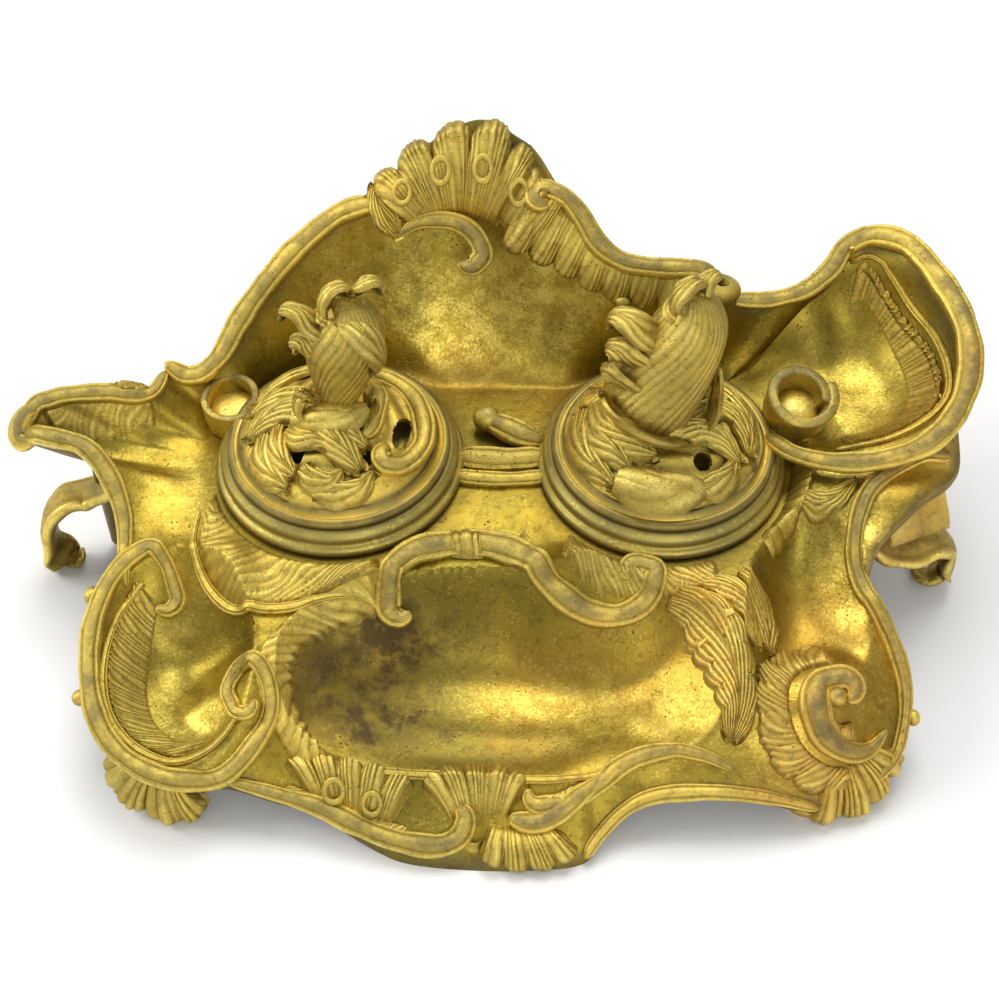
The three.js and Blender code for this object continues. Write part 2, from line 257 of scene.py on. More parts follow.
@dataclass(frozen=True)
class TurnedFinish:
    """Turned brass whose fine lines run round an axis."""

    name: str
    slot: str
    center: Point2
    metal: Color = (0.52, 0.415, 0.105)
    dull: Color = (0.35, 0.292, 0.088)
    # The colour of the painted glints.
    painted_highlight: Color = (0.86, 0.68, 0.18)
    groove: Color = (0.22, 0.18, 0.06)
    # The painted shade in hollows.
    hollow_shade: Color = (0.05, 0.035, 0.012)
    lines: float = 1500.0
    roughness: float = 0.42
    grain: float = 0.00025

    def build(self) -> bpy.types.Material:
        """Builds the finish.

        Returns:
            The material.
        """
        g = Graph(self.name)
        shift = (-self.center[0], -self.center[1], 0.0)
        local = g.node("ShaderNodeMapping", {"Vector": g.place, "Location": shift})
        split = g.node("ShaderNodeSeparateXYZ", {"Vector": local}, output="X")
        y, z = (Shade(g, split.socket.node.outputs[name]) for name in "YZ")
        radius = (split * split + y * y) ** 0.5
        line = ((radius + z * 0.8) * self.lines * 2.0).math("SINE") * 0.5 + 0.5
        mottle = g.noise(150.0, 7.0, 0.6)
        speck = g.noise(900.0, 2.0)
        patina = g.noise(40.0, 4.0)
        worn, relief = g.field("worn"), g.field("relief")
        color = g.mix(patina.step(0.36, 0.64), self.dull, self.metal)
        # Painted glints from specks.
        color = g.mix(speck.step(0.5, 0.66) * mottle.step(0.42, 0.62) * 0.6, color, self.painted_highlight)
        color = g.mix((worn * (0.3 + mottle * 1.2)).clamp() * 0.85, color, self.groove)
        # Painted shade where relief is low.
        color = g.mix((1.0 - relief) * 0.8, color, self.hollow_shade)
        height = line * 0.35 + mottle * 0.5 + speck * 0.2
        rough = self.roughness + mottle * 0.18 + worn * 0.08
        return g.finish(color, height, self.grain, Roughness=rough.clamp(), Metallic=1.0 - worn * 0.15)


@dataclass(frozen=True)
class BareBrass:
    """Turned brass left bare."""

    name: str
    slot: str
    metal: Color = (0.62, 0.46, 0.17)
    dull: Color = (0.42, 0.31, 0.12)
    grain: float = 0.0001

    def build(self) -> bpy.types.Material:
        """Builds the finish.

        Returns:
            The material.
        """
        g = Graph(self.name)
        cloud = g.noise(120.0, 5.0)
        speck = g.noise(900.0, 2.0)
        color = g.mix(cloud.step(0.38, 0.62), self.metal, self.dull)
        return g.finish(color, speck, self.grain, Roughness=0.3 + cloud * 0.2, Metallic=1.0)


@dataclass(frozen=True)
class GlazeFinish:
    """White glazed earthenware with a faint crackle."""

    name: str
    slot: str
    cream: Color = (0.86, 0.84, 0.78)
    white: Color = (0.9, 0.89, 0.85)
    crack: Color = (0.5, 0.45, 0.36)
    waves: float = 0.0002

    def build(self) -> bpy.types.Material:
        """Builds the finish.

        Returns:
            The material.
        """
        g = Graph(self.name)
        cloud = g.noise(60.0, 4.0)
        net = {"Vector": g.place, "Scale": 240.0}
        crackle = g.node("ShaderNodeTexVoronoi", net, feature="DISTANCE_TO_EDGE")
        color = g.mix(cloud.step(0.4, 0.6), self.cream, self.white)
        color = g.mix(crackle.step(0.03, 0.0) * 0.3, color, self.crack)
        return g.finish(color, cloud, self.waves, Roughness=0.12 + cloud * 0.1)


@dataclass(frozen=True)
class FloorFinish:
    """A plain pale floor."""

    name: str = "pale_floor"
    dull: Color = (0.83, 0.83, 0.835)
    pale: Color = (0.87, 0.87, 0.87)
    grain: float = 0.0001

    def build(self) -> bpy.types.Material:
        """Builds the finish.

        Returns:
            The material.
        """
        g = Graph(self.name)
        cloud = g.noise(3.0, 3.0)
        color = g.mix(cloud, self.dull, self.pale)
        return g.finish(color, cloud, self.grain, Roughness=0.7 + cloud * 0.1)


# ---- Curves ----


SEGMENT_STEPS = 24  # points of a spline between two knots, before they are spaced evenly
TURN_STEPS = 40  # points in one turn of a coil


def smooth_step(low: float, high: float, value: np.ndarray) -> np.ndarray:
    """A smooth step from 0 at low to 1 at high."""
    share = np.clip((value - low) / (high - low), 0.0, 1.0)
    return share * share * (3.0 - 2.0 * share)


def unit(vectors: np.ndarray) -> np.ndarray:
    """The vectors with length 1."""
    return vectors / np.maximum(np.linalg.norm(vectors, axis=-1, keepdims=True), 1e-12)


def smooth_path(knots: Path3, count: int, closed: bool = False) -> np.ndarray:
    """A centripetal spline through the knots.

    Args:
        knots: Points in millimetres.
        count: The number of points returned, evenly spaced along the curve.
        closed: Whether the curve returns to its first knot, which isn't repeated.

    Returns:
        The points in metres.
    """
    given = np.asarray(knots, float) * MM
    if closed:
        ring = np.vstack([given[-1], given, given[:2]])
    else:
        ring = np.vstack([2 * given[0] - given[1], given, 2 * given[-1] - given[-2]])
    pieces = []
    for p0, p1, p2, p3 in zip(ring, ring[1:], ring[2:], ring[3:]):
        t1 = max(np.linalg.norm(p1 - p0) ** 0.5, 1e-5)
        t2 = t1 + max(np.linalg.norm(p2 - p1) ** 0.5, 1e-5)
        t3 = t2 + max(np.linalg.norm(p3 - p2) ** 0.5, 1e-5)
        t = np.linspace(t1, t2, SEGMENT_STEPS, endpoint=False)[:, None]
        a1 = (t1 - t) / t1 * p0 + t / t1 * p1
        a2 = (t2 - t) / (t2 - t1) * p1 + (t - t1) / (t2 - t1) * p2
        a3 = (t3 - t) / (t3 - t2) * p2 + (t - t2) / (t3 - t2) * p3
        b1 = (t2 - t) / t2 * a1 + t / t2 * a2
        b2 = (t3 - t) / (t3 - t1) * a2 + (t - t1) / (t3 - t1) * a3
        pieces.append((t2 - t) / (t2 - t1) * b1 + (t - t1) / (t2 - t1) * b2)
    dense = np.vstack([*pieces, given[:1] if closed else given[-1:]])
    return even(dense, count, closed)


def even(points: np.ndarray, count: int, closed: bool = False) -> np.ndarray:
    """Resamples a polyline to evenly spaced points.

    Args:
        points: The polyline.
        count: The number of points returned.
        closed: Whether the polyline ends where it starts; the new one then ends just before that.

    Returns:
        The new points.
    """
    run = np.concatenate([[0.0], np.cumsum(np.linalg.norm(np.diff(points, axis=0), axis=1))])
    at = np.linspace(0.0, run[-1], count + 1 if closed else count)
    found = np.stack([np.interp(at, run, points[:, axis]) for axis in range(3)], axis=1)
    return found[:-1] if closed else found


def coiled(path: np.ndarray, turns: float, start: float, end: float, side: int,
           rise: float = 0.0) -> np.ndarray:
    """The path with a coil added to its end.

    Args:
        path: Points in metres.
        turns: How many turns the coil makes.
        start: The coil's radius where it leaves the path, in millimetres.
        end: The coil's radius at its eye, in millimetres.
        side: 1 to coil to the left of the way the path runs, and -1 to the right.
        rise: How far the eye stands above the path's end, in millimetres.

    Returns:
        The longer path.
    """
    heading = unit(path[-1] - path[-3])
    across = unit(np.cross(UP, heading)) * side
    count = max(int(turns * TURN_STEPS), 8)
    angle, at, added = 0.0, path[-1].copy(), []
    for step in range(count):
        share = (step + 0.5) / count
        radius = (start * (1 - share) ** 1.2 + end * (1 - (1 - share) ** 1.2)) * MM
        turn = turns * 2 * math.pi / count
        angle += turn
        at = at + (heading * math.cos(angle) + across * math.sin(angle)) * radius * turn
        at = at + UP * rise * MM / count
        added.append(at)
    return np.vstack([path, added])


# ---- Meshes ----

MERGE = 1e-5  # metres within which two points become one
CAST_CREASE = 50  # degrees between two faces above which their edge stays sharp
BOSS_CREASE = 60
WEAR_CORE, WEAR_REACH = 0.3, 1.6  # millimetres from a worn edge: fully worn, and no longer worn
SECTION_SIDES = 24  # points round a scroll's section
POLE = 0.004  # a radius in millimetres so small that its ring merges to one point


def deselect() -> None:
    """Leaves nothing selected and no object active."""
    if bpy.context.object and bpy.context.object.mode != "OBJECT":
        bpy.ops.object.mode_set(mode="OBJECT")
    bpy.ops.object.select_all(action="DESELECT")
    bpy.context.view_layer.objects.active = None


def named(name: str) -> bpy.types.Object:
    """The object an operator has just added, with its name set."""
    obj = bpy.context.active_object
    obj.name = obj.data.name = name
    return obj


def edit_all() -> None:
    """Enters edit mode with the whole mesh selected."""
    bpy.ops.object.mode_set(mode="EDIT")
    bpy.ops.mesh.select_all(action="SELECT")


def tidy_mesh() -> None:
    """Merges the active mesh's doubled points, turns its faces outward and shades it smooth."""
    edit_all()
    bpy.ops.mesh.remove_doubles(threshold=MERGE)
    bpy.ops.mesh.normals_make_consistent(inside=False)
    bpy.ops.object.mode_set(mode="OBJECT")
    bpy.ops.object.shade_smooth_by_angle(angle=math.radians(CAST_CREASE))


def grid(name: str, points: np.ndarray, fields: dict[str, np.ndarray]) -> bpy.types.Object:
    """A grid of faces.

    Args:
        name: The object's name.
        points: Positions in metres, by row and column.
        fields: Values that the points carry, by row and column.

    Returns:
        The new object, active and selected.
    """
    rows, columns = points.shape[:2]
    deselect()
    bpy.ops.mesh.primitive_grid_add(x_subdivisions=columns - 1, y_subdivisions=rows - 1, size=1.0)
    obj = named(name)
    obj.data.vertices.foreach_set("co", np.ascontiguousarray(points, np.float32).ravel())
    for field_name, values in fields.items():
        carry(obj, field_name, values.ravel())
    obj.data.update()
    return obj


def carry(obj: bpy.types.Object, name: str, values: np.ndarray) -> None:
    """Stores a value on each point of a mesh, kept from 0 to 1."""
    found = obj.data.attributes.get(name) or obj.data.attributes.new(name, "FLOAT", "POINT")
    found.data.foreach_set("value", np.clip(values, 0.0, 1.0).astype(np.float32))


def positions(obj: bpy.types.Object) -> np.ndarray:
    """The mesh's points in metres."""
    found = np.zeros(len(obj.data.vertices) * 3, np.float32)
    obj.data.vertices.foreach_get("co", found)
    return found.reshape(-1, 3).astype(float)


def apply_modifier(obj: bpy.types.Object, kind: str, **settings) -> None:
    """Adds a modifier and applies it.

    Args:
        obj: The object.
        kind: The modifier's type.
        settings: The modifier's own properties.
    """
    bpy.context.view_layer.objects.active = obj
    modifier = obj.modifiers.new(kind.title(), kind)
    for name, value in settings.items():
        setattr(modifier, name, value)
    bpy.ops.object.modifier_apply(modifier=modifier.name)


def turned(name: str, center: Point2, profile: Sequence[Point2], sides: int = 128,
           worn: Sequence[Point2] = ()) -> bpy.types.Object:
    """A ring turned about an upright axis.

    Args:
        name: The object's name.
        center: The axis, in metres.
        profile: Radius and height in millimetres at each point of the closed outline.
        sides: The number of facets.
        worn: Radius and height in millimetres of each ring near which the metal is worn.

    Returns:
        The new object.
    """
    deselect()
    radius, low = profile[0][0] * MM, profile[0][1] * MM
    bpy.ops.mesh.primitive_circle_add(vertices=sides, radius=radius, location=(*center, low))
    obj = named(name)
    bpy.ops.object.transform_apply(location=True, rotation=True, scale=True)
    edit_all()
    for (r0, z0), (r1, z1) in zip(profile, [*profile[1:], profile[0]]):
        bpy.ops.mesh.extrude_edges_move(TRANSFORM_OT_translate={"value": (0, 0, (z1 - z0) * MM)})
        ratio = r1 / r0
        bpy.ops.transform.resize(value=(ratio, ratio, 1), center_override=(*center, z1 * MM))
    bpy.ops.object.mode_set(mode="OBJECT")
    tidy_mesh()
    at = positions(obj)
    reach = np.hypot(at[:, 0] - center[0], at[:, 1] - center[1]) / MM
    wear = np.zeros(len(at))
    for worn_radius, worn_height in worn:
        near = np.hypot(reach - worn_radius, at[:, 2] / MM - worn_height)
        wear = np.maximum(wear, 1 - smooth_step(WEAR_CORE, WEAR_REACH, near))
    carry(obj, "worn", wear)
    carry(obj, "relief", np.ones(len(at)))
    return obj


def spread(values: np.ndarray, shape: tuple[int, int]) -> np.ndarray:
    """The values of a field as one number for each row and column."""
    return np.broadcast_to(values, (*shape, 1))[..., 0]


def thicken(obj: bpy.types.Object, thickness: float, facing: float) -> None:
    """Gives a skin its thickness on the side away from the viewer.

    Args:
        obj: The skin.
        thickness: In millimetres.
        facing: Above 0 when the skin's faces look at the viewer.
    """
    apply_modifier(obj, "SOLIDIFY", thickness=thickness * MM, offset=-1.0 if facing > 0 else 1.0)


def closed_tube(name: str, rings: np.ndarray, fields: dict[str, np.ndarray]) -> bpy.types.Object:
    """A closed body skinned over rings, with each end drawn to a point.

    Args:
        name: The object's name.
        rings: Positions in metres, by ring and by point round the ring.
        fields: Values by ring and point.

    Returns:
        The new object.
    """
    tips = [np.broadcast_to(ring.mean(axis=0), ring.shape) for ring in (rings[0], rings[-1])]
    body = np.concatenate([tips[:1], rings, tips[1:]])
    body = np.concatenate([body, body[:, :1]], axis=1)
    wrapped = {}
    for field_name, values in fields.items():
        full = np.concatenate([values[:1], values, values[-1:]])
        wrapped[field_name] = np.concatenate([full, full[:, :1]], axis=1)
    obj = grid(name, body, wrapped)
    tidy_mesh()
    return obj


class Outline(Enum):
    """The section of a scroll."""

    ROUND = "round"
    BAND = "band"


@dataclass
class Scroll:
    """A tapered bar along a path, such as a C-scroll with coiled ends.

    Lengths are in millimetres; the path is in metres.
    """

    name: str
    path: np.ndarray
    width: float
    height: float
    outline: Outline = Outline.BAND
    start: float = 0.5
    end: float = 0.5
    up: np.ndarray = field(default_factory=lambda: UP)
    worn: float = 0.8
    spacing: float = 0.7

    def build(self) -> bpy.types.Object:
        """Builds the scroll.

        Returns:
            A closed body.
        """
        length = np.linalg.norm(np.diff(self.path, axis=0), axis=1).sum() / MM
        path = even(self.path, max(int(length / self.spacing), 24))
        run = np.linspace(0.0, 1.0, len(path))
        ahead = unit(np.gradient(path, axis=0))
        side = unit(np.cross(ahead, self.up))
        top = np.cross(side, ahead)
        cap = max(self.width / length, 1.5 / len(path))
        near_start, near_end = np.clip(run / cap, 0, 1), np.clip((1 - run) / cap, 0, 1)
        rounding = np.sqrt(1 - (1 - near_start) ** 2) * np.sqrt(1 - (1 - near_end) ** 2)
        size = (self.start + (1 - self.start) * smooth_step(0, 0.45, run))
        size = size * (self.end + (1 - self.end) * smooth_step(0, 0.45, 1 - run))
        waver = 1 + 0.05 * np.sin(run * length / 4.3) + 0.03 * np.sin(run * length / 1.9 + 1.0)
        size = np.maximum(size * waver * rounding, 0.02)
        turn = np.linspace(0, 2 * math.pi, SECTION_SIDES, endpoint=False)
        sharp = 1.0 if self.outline is Outline.ROUND else 0.72
        across = np.sign(np.cos(turn)) * np.abs(np.cos(turn)) ** sharp
        rise = np.sign(np.sin(turn)) * np.abs(np.sin(turn)) ** sharp
        groove = np.zeros(len(turn))
        if self.outline is Outline.BAND:
            groove = np.exp(-(((np.abs(across) - 0.66) / 0.13) ** 2)) * (rise > 0)
        rise = rise * (1 - 0.35 * groove)
        half = self.width / 2 * MM * size[:, None, None]
        tall = self.height / 2 * MM * size[:, None, None]
        rings = path[:, None] + side[:, None] * across[None, :, None] * half
        rings = rings + top[:, None] * rise[None, :, None] * tall
        shape = (len(path), len(turn))
        crown = smooth_step(0.55, 0.95, rise) * (1 - groove) * smooth_step(0.6, 0.3, np.abs(across))
        # Painted shade below the section's middle and in the groove, and a painted highlight along both sides.
        fields = {
            "relief": np.broadcast_to((1 - groove * 0.8) * smooth_step(-0.7, 0.1, rise), shape),
            "worn": np.broadcast_to(crown * self.worn, shape),
            "burnish_and_highlight": np.broadcast_to(smooth_step(0.78, 0.95, np.abs(across)) * 0.7, shape),
        }
        return closed_tube(self.name, rings, fields)


@dataclass
class RibbedStrip:
    """A ribbed skin between two edge lines, such as a shell, a leaf fan or a ruffle.

    Lengths are in millimetres; the edges are in metres and run the same way.
    """

    name: str
    inner: np.ndarray
    outer: np.ndarray
    ribs: float
    depth: float = 1.2
    bulge: float = 2.0
    scallop: float = 1.0
    skew: float = 0.0
    lobes: int = 0
    sink: float = 1.0
    lift: float = 0.0
    thickness: float = 1.6
    beads: float = 0.0
    worn: float = 0.35
    teeth: float = 0.5
    swell: float = 1.2
    rows: int = 26
    up: np.ndarray = field(default_factory=lambda: UP)
    drape: Callable[[np.ndarray, np.ndarray], np.ndarray] | None = None

    def build(self) -> bpy.types.Object:
        """Builds the strip.

        Returns:
            A closed skin.
        """
        count = int(max(self.ribs * 12, 60))
        inner, outer = even(self.inner, count), even(self.outer, count)
        run = np.linspace(0, 1, count)[None, :, None]
        out = np.linspace(0, 1, self.rows)[:, None, None]
        uneven = (0.35 * np.sin(run * self.ribs * 1.3) + 0.3 * np.sin(run * self.ribs * 0.47 + 2)) / self.ribs
        phase = math.pi * self.ribs * (run + uneven + self.skew * out * out)
        rib = np.abs(np.sin(phase)) ** 0.75
        rib = rib * (0.8 + 0.2 * np.sin(np.floor(phase / math.pi) * 2.4 + 4 * out))
        rib = rib * 0.88 + 0.12 * np.abs(np.sin(phase * 3))
        lobe = np.abs(np.sin(math.pi * self.lobes * run)) ** 0.5 if self.lobes else 1.0
        span = outer - inner
        scallop = self.scallop * MM / np.linalg.norm(span, axis=1).mean()
        reach = 1 + scallop * (rib * self.teeth + lobe - 1)
        points = inner + span * out * (1 + (reach - 1) * out ** 2)
        along = unit(np.gradient(inner + outer, axis=0))
        normal = unit(np.cross(along, unit(span)))
        normal = normal * np.sign(normal @ self.up)[:, None]
        edge = smooth_step(0, 0.14, out) * smooth_step(0, 0.1, 1 - out)
        ends = smooth_step(0, 0.05, run) * smooth_step(0, 0.05, 1 - run)
        envelope = (0.35 + 0.65 * smooth_step(0, 0.6, out)) * smooth_step(0, 0.06, 1 - out)
        bump = self.bulge * np.sin(math.pi * out ** 0.9)
        bump = bump + (self.depth * rib + self.swell * lobe * out) * envelope
        bump = bump + self.beads * rib * np.exp(-(((out - 0.9) / 0.06) ** 2))
        height = (bump * (0.3 + 0.7 * ends) + self.lift - self.sink * (1 - edge * ends)) * MM
        if self.drape:
            points = points.copy()
            points[..., 2] = self.drape(points[..., 0], points[..., 1]) + height[..., 0]
        else:
            points = points + normal[None] * height
        shape = points.shape[:2]
        high, rim = spread(rib, shape), spread(smooth_step(0.86, 0.97, out), shape)
        # Painted shade between the ribs and a painted highlight on their crests; the rim is worn.
        fields = {
            "relief": spread((0.3 + 0.7 * rib) * (0.65 + 0.35 * lobe), shape),
            "worn": self.worn * (rim + 0.3 * high),
            "burnish_and_highlight": np.clip(high - 0.6, 0, 1) * 1.6,
        }
        obj = grid(self.name, points, fields)
        edit_all()
        bpy.ops.mesh.remove_doubles(threshold=MERGE)
        bpy.ops.object.mode_set(mode="OBJECT")
        facing = Vector(obj.data.polygons[len(obj.data.polygons) // 2].normal) @ Vector(self.up)
        thicken(obj, self.thickness, facing)
        tidy_mesh()
        return obj


@dataclass
class Leaf:
    """A veined leaf along a spine, curled up or down towards its tip.

    Lengths are in millimetres; the spine is in metres.
    """

    name: str
    spine: np.ndarray
    width: float
    bulge: float = 2.2
    veins: int = 5
    depth: float = 0.7
    lobes: int = 4
    thickness: float = 1.6
    root: float = 0.35
    up: np.ndarray = field(default_factory=lambda: UP)
    center: np.ndarray | None = None
    drape: Callable[[np.ndarray, np.ndarray], np.ndarray] | None = None
    lift: float = 0.3
    worn: float = 0.3

    def build(self) -> bpy.types.Object:
        """Builds the leaf.

        Returns:
            A closed skin.
        """
        length = np.linalg.norm(np.diff(self.spine, axis=0), axis=1).sum() / MM
        spine = even(self.spine, max(int(length / 0.6), 30))
        run = np.linspace(0, 1, len(spine))[:, None]
        over = np.linspace(-1, 1, max(self.veins * 2 * 7, 36))[None, :]
        ahead = unit(np.gradient(spine, axis=0))
        up = self.up if self.center is None else unit(spine - self.center)
        side = unit(np.cross(ahead, np.broadcast_to(up, ahead.shape)))
        top = np.cross(side, ahead)
        blade = self.root + (1 - self.root) * smooth_step(0, 0.35, run)
        blade = blade * np.sqrt(np.clip(1 - run ** 3.2, 0.0009, 1))
        notch = 0.84 + 0.16 * np.abs(np.sin(math.pi * self.lobes * run)) ** 0.6
        half = self.width / 2 * MM * blade * np.where(np.abs(over) > 0.5, notch, 1.0)
        slant = np.abs(over) ** 0.8 + run * 0.9 + 0.04 * np.sin(9 * run)
        vein = np.abs(np.sin(math.pi * self.veins * slant)) ** 0.7
        vein = vein * smooth_step(0.0, 0.07, np.abs(over))
        rise = self.bulge * (1 - over ** 2) ** 0.8 * np.sin(math.pi * (0.12 + 0.8 * run)) + self.depth * vein
        rise = (rise + self.lift - 0.8 * smooth_step(0.85, 1.0, np.abs(over))) * MM
        points = spine[:, None] + side[:, None] * (over * half)[..., None]
        if self.drape:
            points[..., 2] = self.drape(points[..., 0], points[..., 1]) + rise
        else:
            points = points + top[:, None] * rise[..., None]
        edge = smooth_step(0.8, 0.97, np.abs(over)) + 0 * run
        # Painted shade between the veins and at the edges, and a painted highlight on the veins.
        fields = {
            "relief": (0.25 + 0.75 * vein) * (1 - 0.35 * edge),
            "worn": self.worn * np.maximum(smooth_step(0.85, 1.0, run) + 0 * over, 0.5 * vein),
            "burnish_and_highlight": np.clip(vein - 0.7, 0, 1) * 2.0,
        }
        obj = grid(self.name, points, fields)
        facing = Vector(obj.data.polygons[len(obj.data.polygons) // 2].normal)
        thicken(obj, self.thickness, facing @ Vector(top[len(top) // 2]))
        tidy_mesh()
        return obj


@dataclass
class Roll:
    """A sheet rolled up about an axis, seen as a scroll at each end. Lengths are in millimetres."""

    name: str
    middle: tuple[float, float, float]
    axis: tuple[float, float, float]
    radius: float
    width: float
    turns: float = 1.6
    eye: float = 0.25
    start: float = 0.0
    flare: float = 0.0
    thickness: float = 2.4
    worn: float = 0.9

    def build(self) -> bpy.types.Object:
        """Builds the roll.

        Returns:
            A closed skin.
        """
        axis = unit(np.array(self.axis, float))
        other = np.array([0.0, 0.0, 1.0] if abs(axis[2]) < 0.9 else [0.0, 1.0, 0.0])
        across = unit(np.cross(axis, other))
        rise = np.cross(across, axis)
        share = np.linspace(0, 1, int(self.turns * 48))[:, None, None]
        along = np.linspace(-0.5, 0.5, max(int(self.width / 0.8), 8))[None, :, None]
        angle = math.radians(self.start) + share * self.turns * 2 * math.pi
        reach = self.radius * (1 - (1 - self.eye) * share ** 0.85) * (1 + self.flare * (along + 0.5) ** 2)
        points = np.array(self.middle) + axis * along * self.width
        points = points + (across * np.cos(angle) + rise * np.sin(angle)) * reach
        shape = points.shape[:2]
        # Painted shade that deepens towards the eye of the roll, and an even polish with a painted highlight.
        fields = {
            "relief": spread(1 - 0.55 * smooth_step(0.3, 1.0, share), shape),
            "worn": spread(smooth_step(0.38, 0.48, np.abs(along)), shape) * self.worn,
            "burnish_and_highlight": np.full(shape, 0.25),
        }
        obj = grid(self.name, points * MM, fields)
        apply_modifier(obj, "SOLIDIFY", thickness=self.thickness * MM, offset=0.0)
        rounding = self.thickness * 0.3 * MM
        apply_modifier(obj, "BEVEL", width=rounding, segments=2, limit_method="ANGLE")
        tidy_mesh()
        return obj


@dataclass
class Bead:
    """A small boss, round or oval. Lengths are in millimetres."""

    name: str
    middle: tuple[float, float, float]
    size: tuple[float, float, float]
    worn: float = 0.3

    def build(self) -> bpy.types.Object:
        """Builds the boss.

        Returns:
            A closed body.
        """
        deselect()
        bpy.ops.mesh.primitive_uv_sphere_add(segments=24, ring_count=16, radius=1.0, location=(0, 0, 0))
        obj = named(self.name)
        obj.scale = [value / 2 * MM for value in self.size]
        obj.location = [value * MM for value in self.middle]
        bpy.ops.object.transform_apply(location=True, rotation=True, scale=True)
        bpy.ops.object.shade_smooth_by_angle(angle=math.radians(BOSS_CREASE))
        at = positions(obj)
        high = (at[:, 2] - at[:, 2].min()) / np.ptp(at[:, 2])
        # Painted shade on the lower part and a painted highlight on the top, where it is also worn.
        carry(obj, "relief", 0.3 + 0.7 * smooth_step(0.4, 0.8, high))
        carry(obj, "worn", self.worn * smooth_step(0.75, 1.0, high))
        carry(obj, "burnish_and_highlight", 0.6 * smooth_step(0.6, 1.0, high))
        return obj


# ---- The tray's form ----

# Lengths are in millimetres, and a share runs from 0 at the tray's middle to 1 at its rim.
MIDDLE = (2.0, 12.0)
LAND_HALF = (93.0, 42.0)
LAND_SHARE = 0.8  # the largest share that the level land takes
LAND_EDGE = 40.5
LAND_BLEND = 7.0
RISE = 1.6
PLATFORM_Z = 42.0
WALL = 4.0
HOLE_RADIUS = 33.2
CUTTER_DEPTH = 30
CUTTER_DROP = 2
APRON_SHARE = 0.87
APRON_LIMIT = 0.96
APRON_STEP = 0.01
APRON_SMOOTHING = 15  # an odd number of neighbours
APRON_TO_WELL = 45.0
APRON_FOOT_Z = 3.0
DRAW_WIDTH = 60.0  # square millimetres in which a path draws the surface to itself
DRAW_LEAST = 0.35
DRAW_LIMIT = 9
DRAW_SPACING = 0.005  # metres

# The tray's rim, anticlockwise from the middle of the front: x, y and height.
RIM = (
    (11, -96.5, 4), (-14, -96, 4), (-26, -94, 5), (-38, -89, 8), (-50, -83, 11), (-64, -80, 14),
    (-76, -78, 17), (-87, -80, 21), (-98.5, -77.5, 22), (-109, -70.5, 24), (-115, -61, 27),
    (-118, -48, 30), (-118, -36, 33), (-114.5, -25, 37), (-111.5, -14, 41), (-112, -4, 46), (-116, 5, 52),
    (-124, 13, 59), (-136, 17, 59), (-146, 22, 57), (-142, 28.5, 62), (-133, 30, 63), (-119, 33.5, 62),
    (-107.5, 36, 59), (-104, 45, 60), (-96, 46, 58.5), (-88, 48, 61), (-80.5, 58.5, 68), (-72.5, 67, 75),
    (-61.5, 76, 84), (-49, 82.5, 91), (-36, 86, 98), (-19, 95, 111), (-4, 97, 117), (8, 92, 112),
    (19, 84, 99), (28, 76, 93), (39, 69, 86), (64, 68, 82), (74, 67, 76), (87, 70, 68), (98, 72, 70),
    (110, 79, 75), (118, 84, 80), (129.5, 80.5, 82), (139, 65.5, 80), (144.5, 49, 77), (144.5, 34.5, 72),
    (140, 20.5, 64), (141, 11, 51), (127, -1, 46), (115, -13, 43), (111.5, -24, 38), (116, -31.5, 33),
    (120.5, -39.5, 27), (122.5, -48.5, 22), (121, -57, 17), (118, -65, 13), (110, -75, 9), (98, -80, 8),
    (90, -80, 11), (76, -79.5, 15), (60, -79.5, 17), (46, -80.5, 15), (38, -83, 10), (32, -88, 6),
    (27, -94, 4),
)


@dataclass(frozen=True)
class Dish:
    """A hollow in the tray: middle, half sizes, turn in degrees, lowest height, flatness and squareness."""

    middle: tuple[float, float]
    half: tuple[float, float]
    turn: float
    floor: float
    flat: float
    square: float = 2.0

    def reach(self, x: np.ndarray, y: np.ndarray) -> np.ndarray:
        """Measures how far places lie from the dish's middle.

        Args:
            x: In millimetres.
            y: In millimetres.

        Returns:
            0 in the middle and 1 on the edge.
        """
        c, s = math.cos(math.radians(self.turn)), math.sin(math.radians(self.turn))
        along = (x - self.middle[0]) * c + (y - self.middle[1]) * s
        across = (y - self.middle[1]) * c - (x - self.middle[0]) * s
        power = self.square
        return (np.abs(along / self.half[0]) ** power + np.abs(across / self.half[1]) ** power) ** (1 / power)


DISHES = (
    Dish((4, -47.5), (67, 29), 0, 11, 2.6, 2.5),
    Dish((-93, -45), (24, 32), 6, 17, 2.4),
    Dish((93, -34), (19, 36), -8, 24, 2.2),
    Dish((114, 47), (31, 33), 0, 47, 2.2),
)


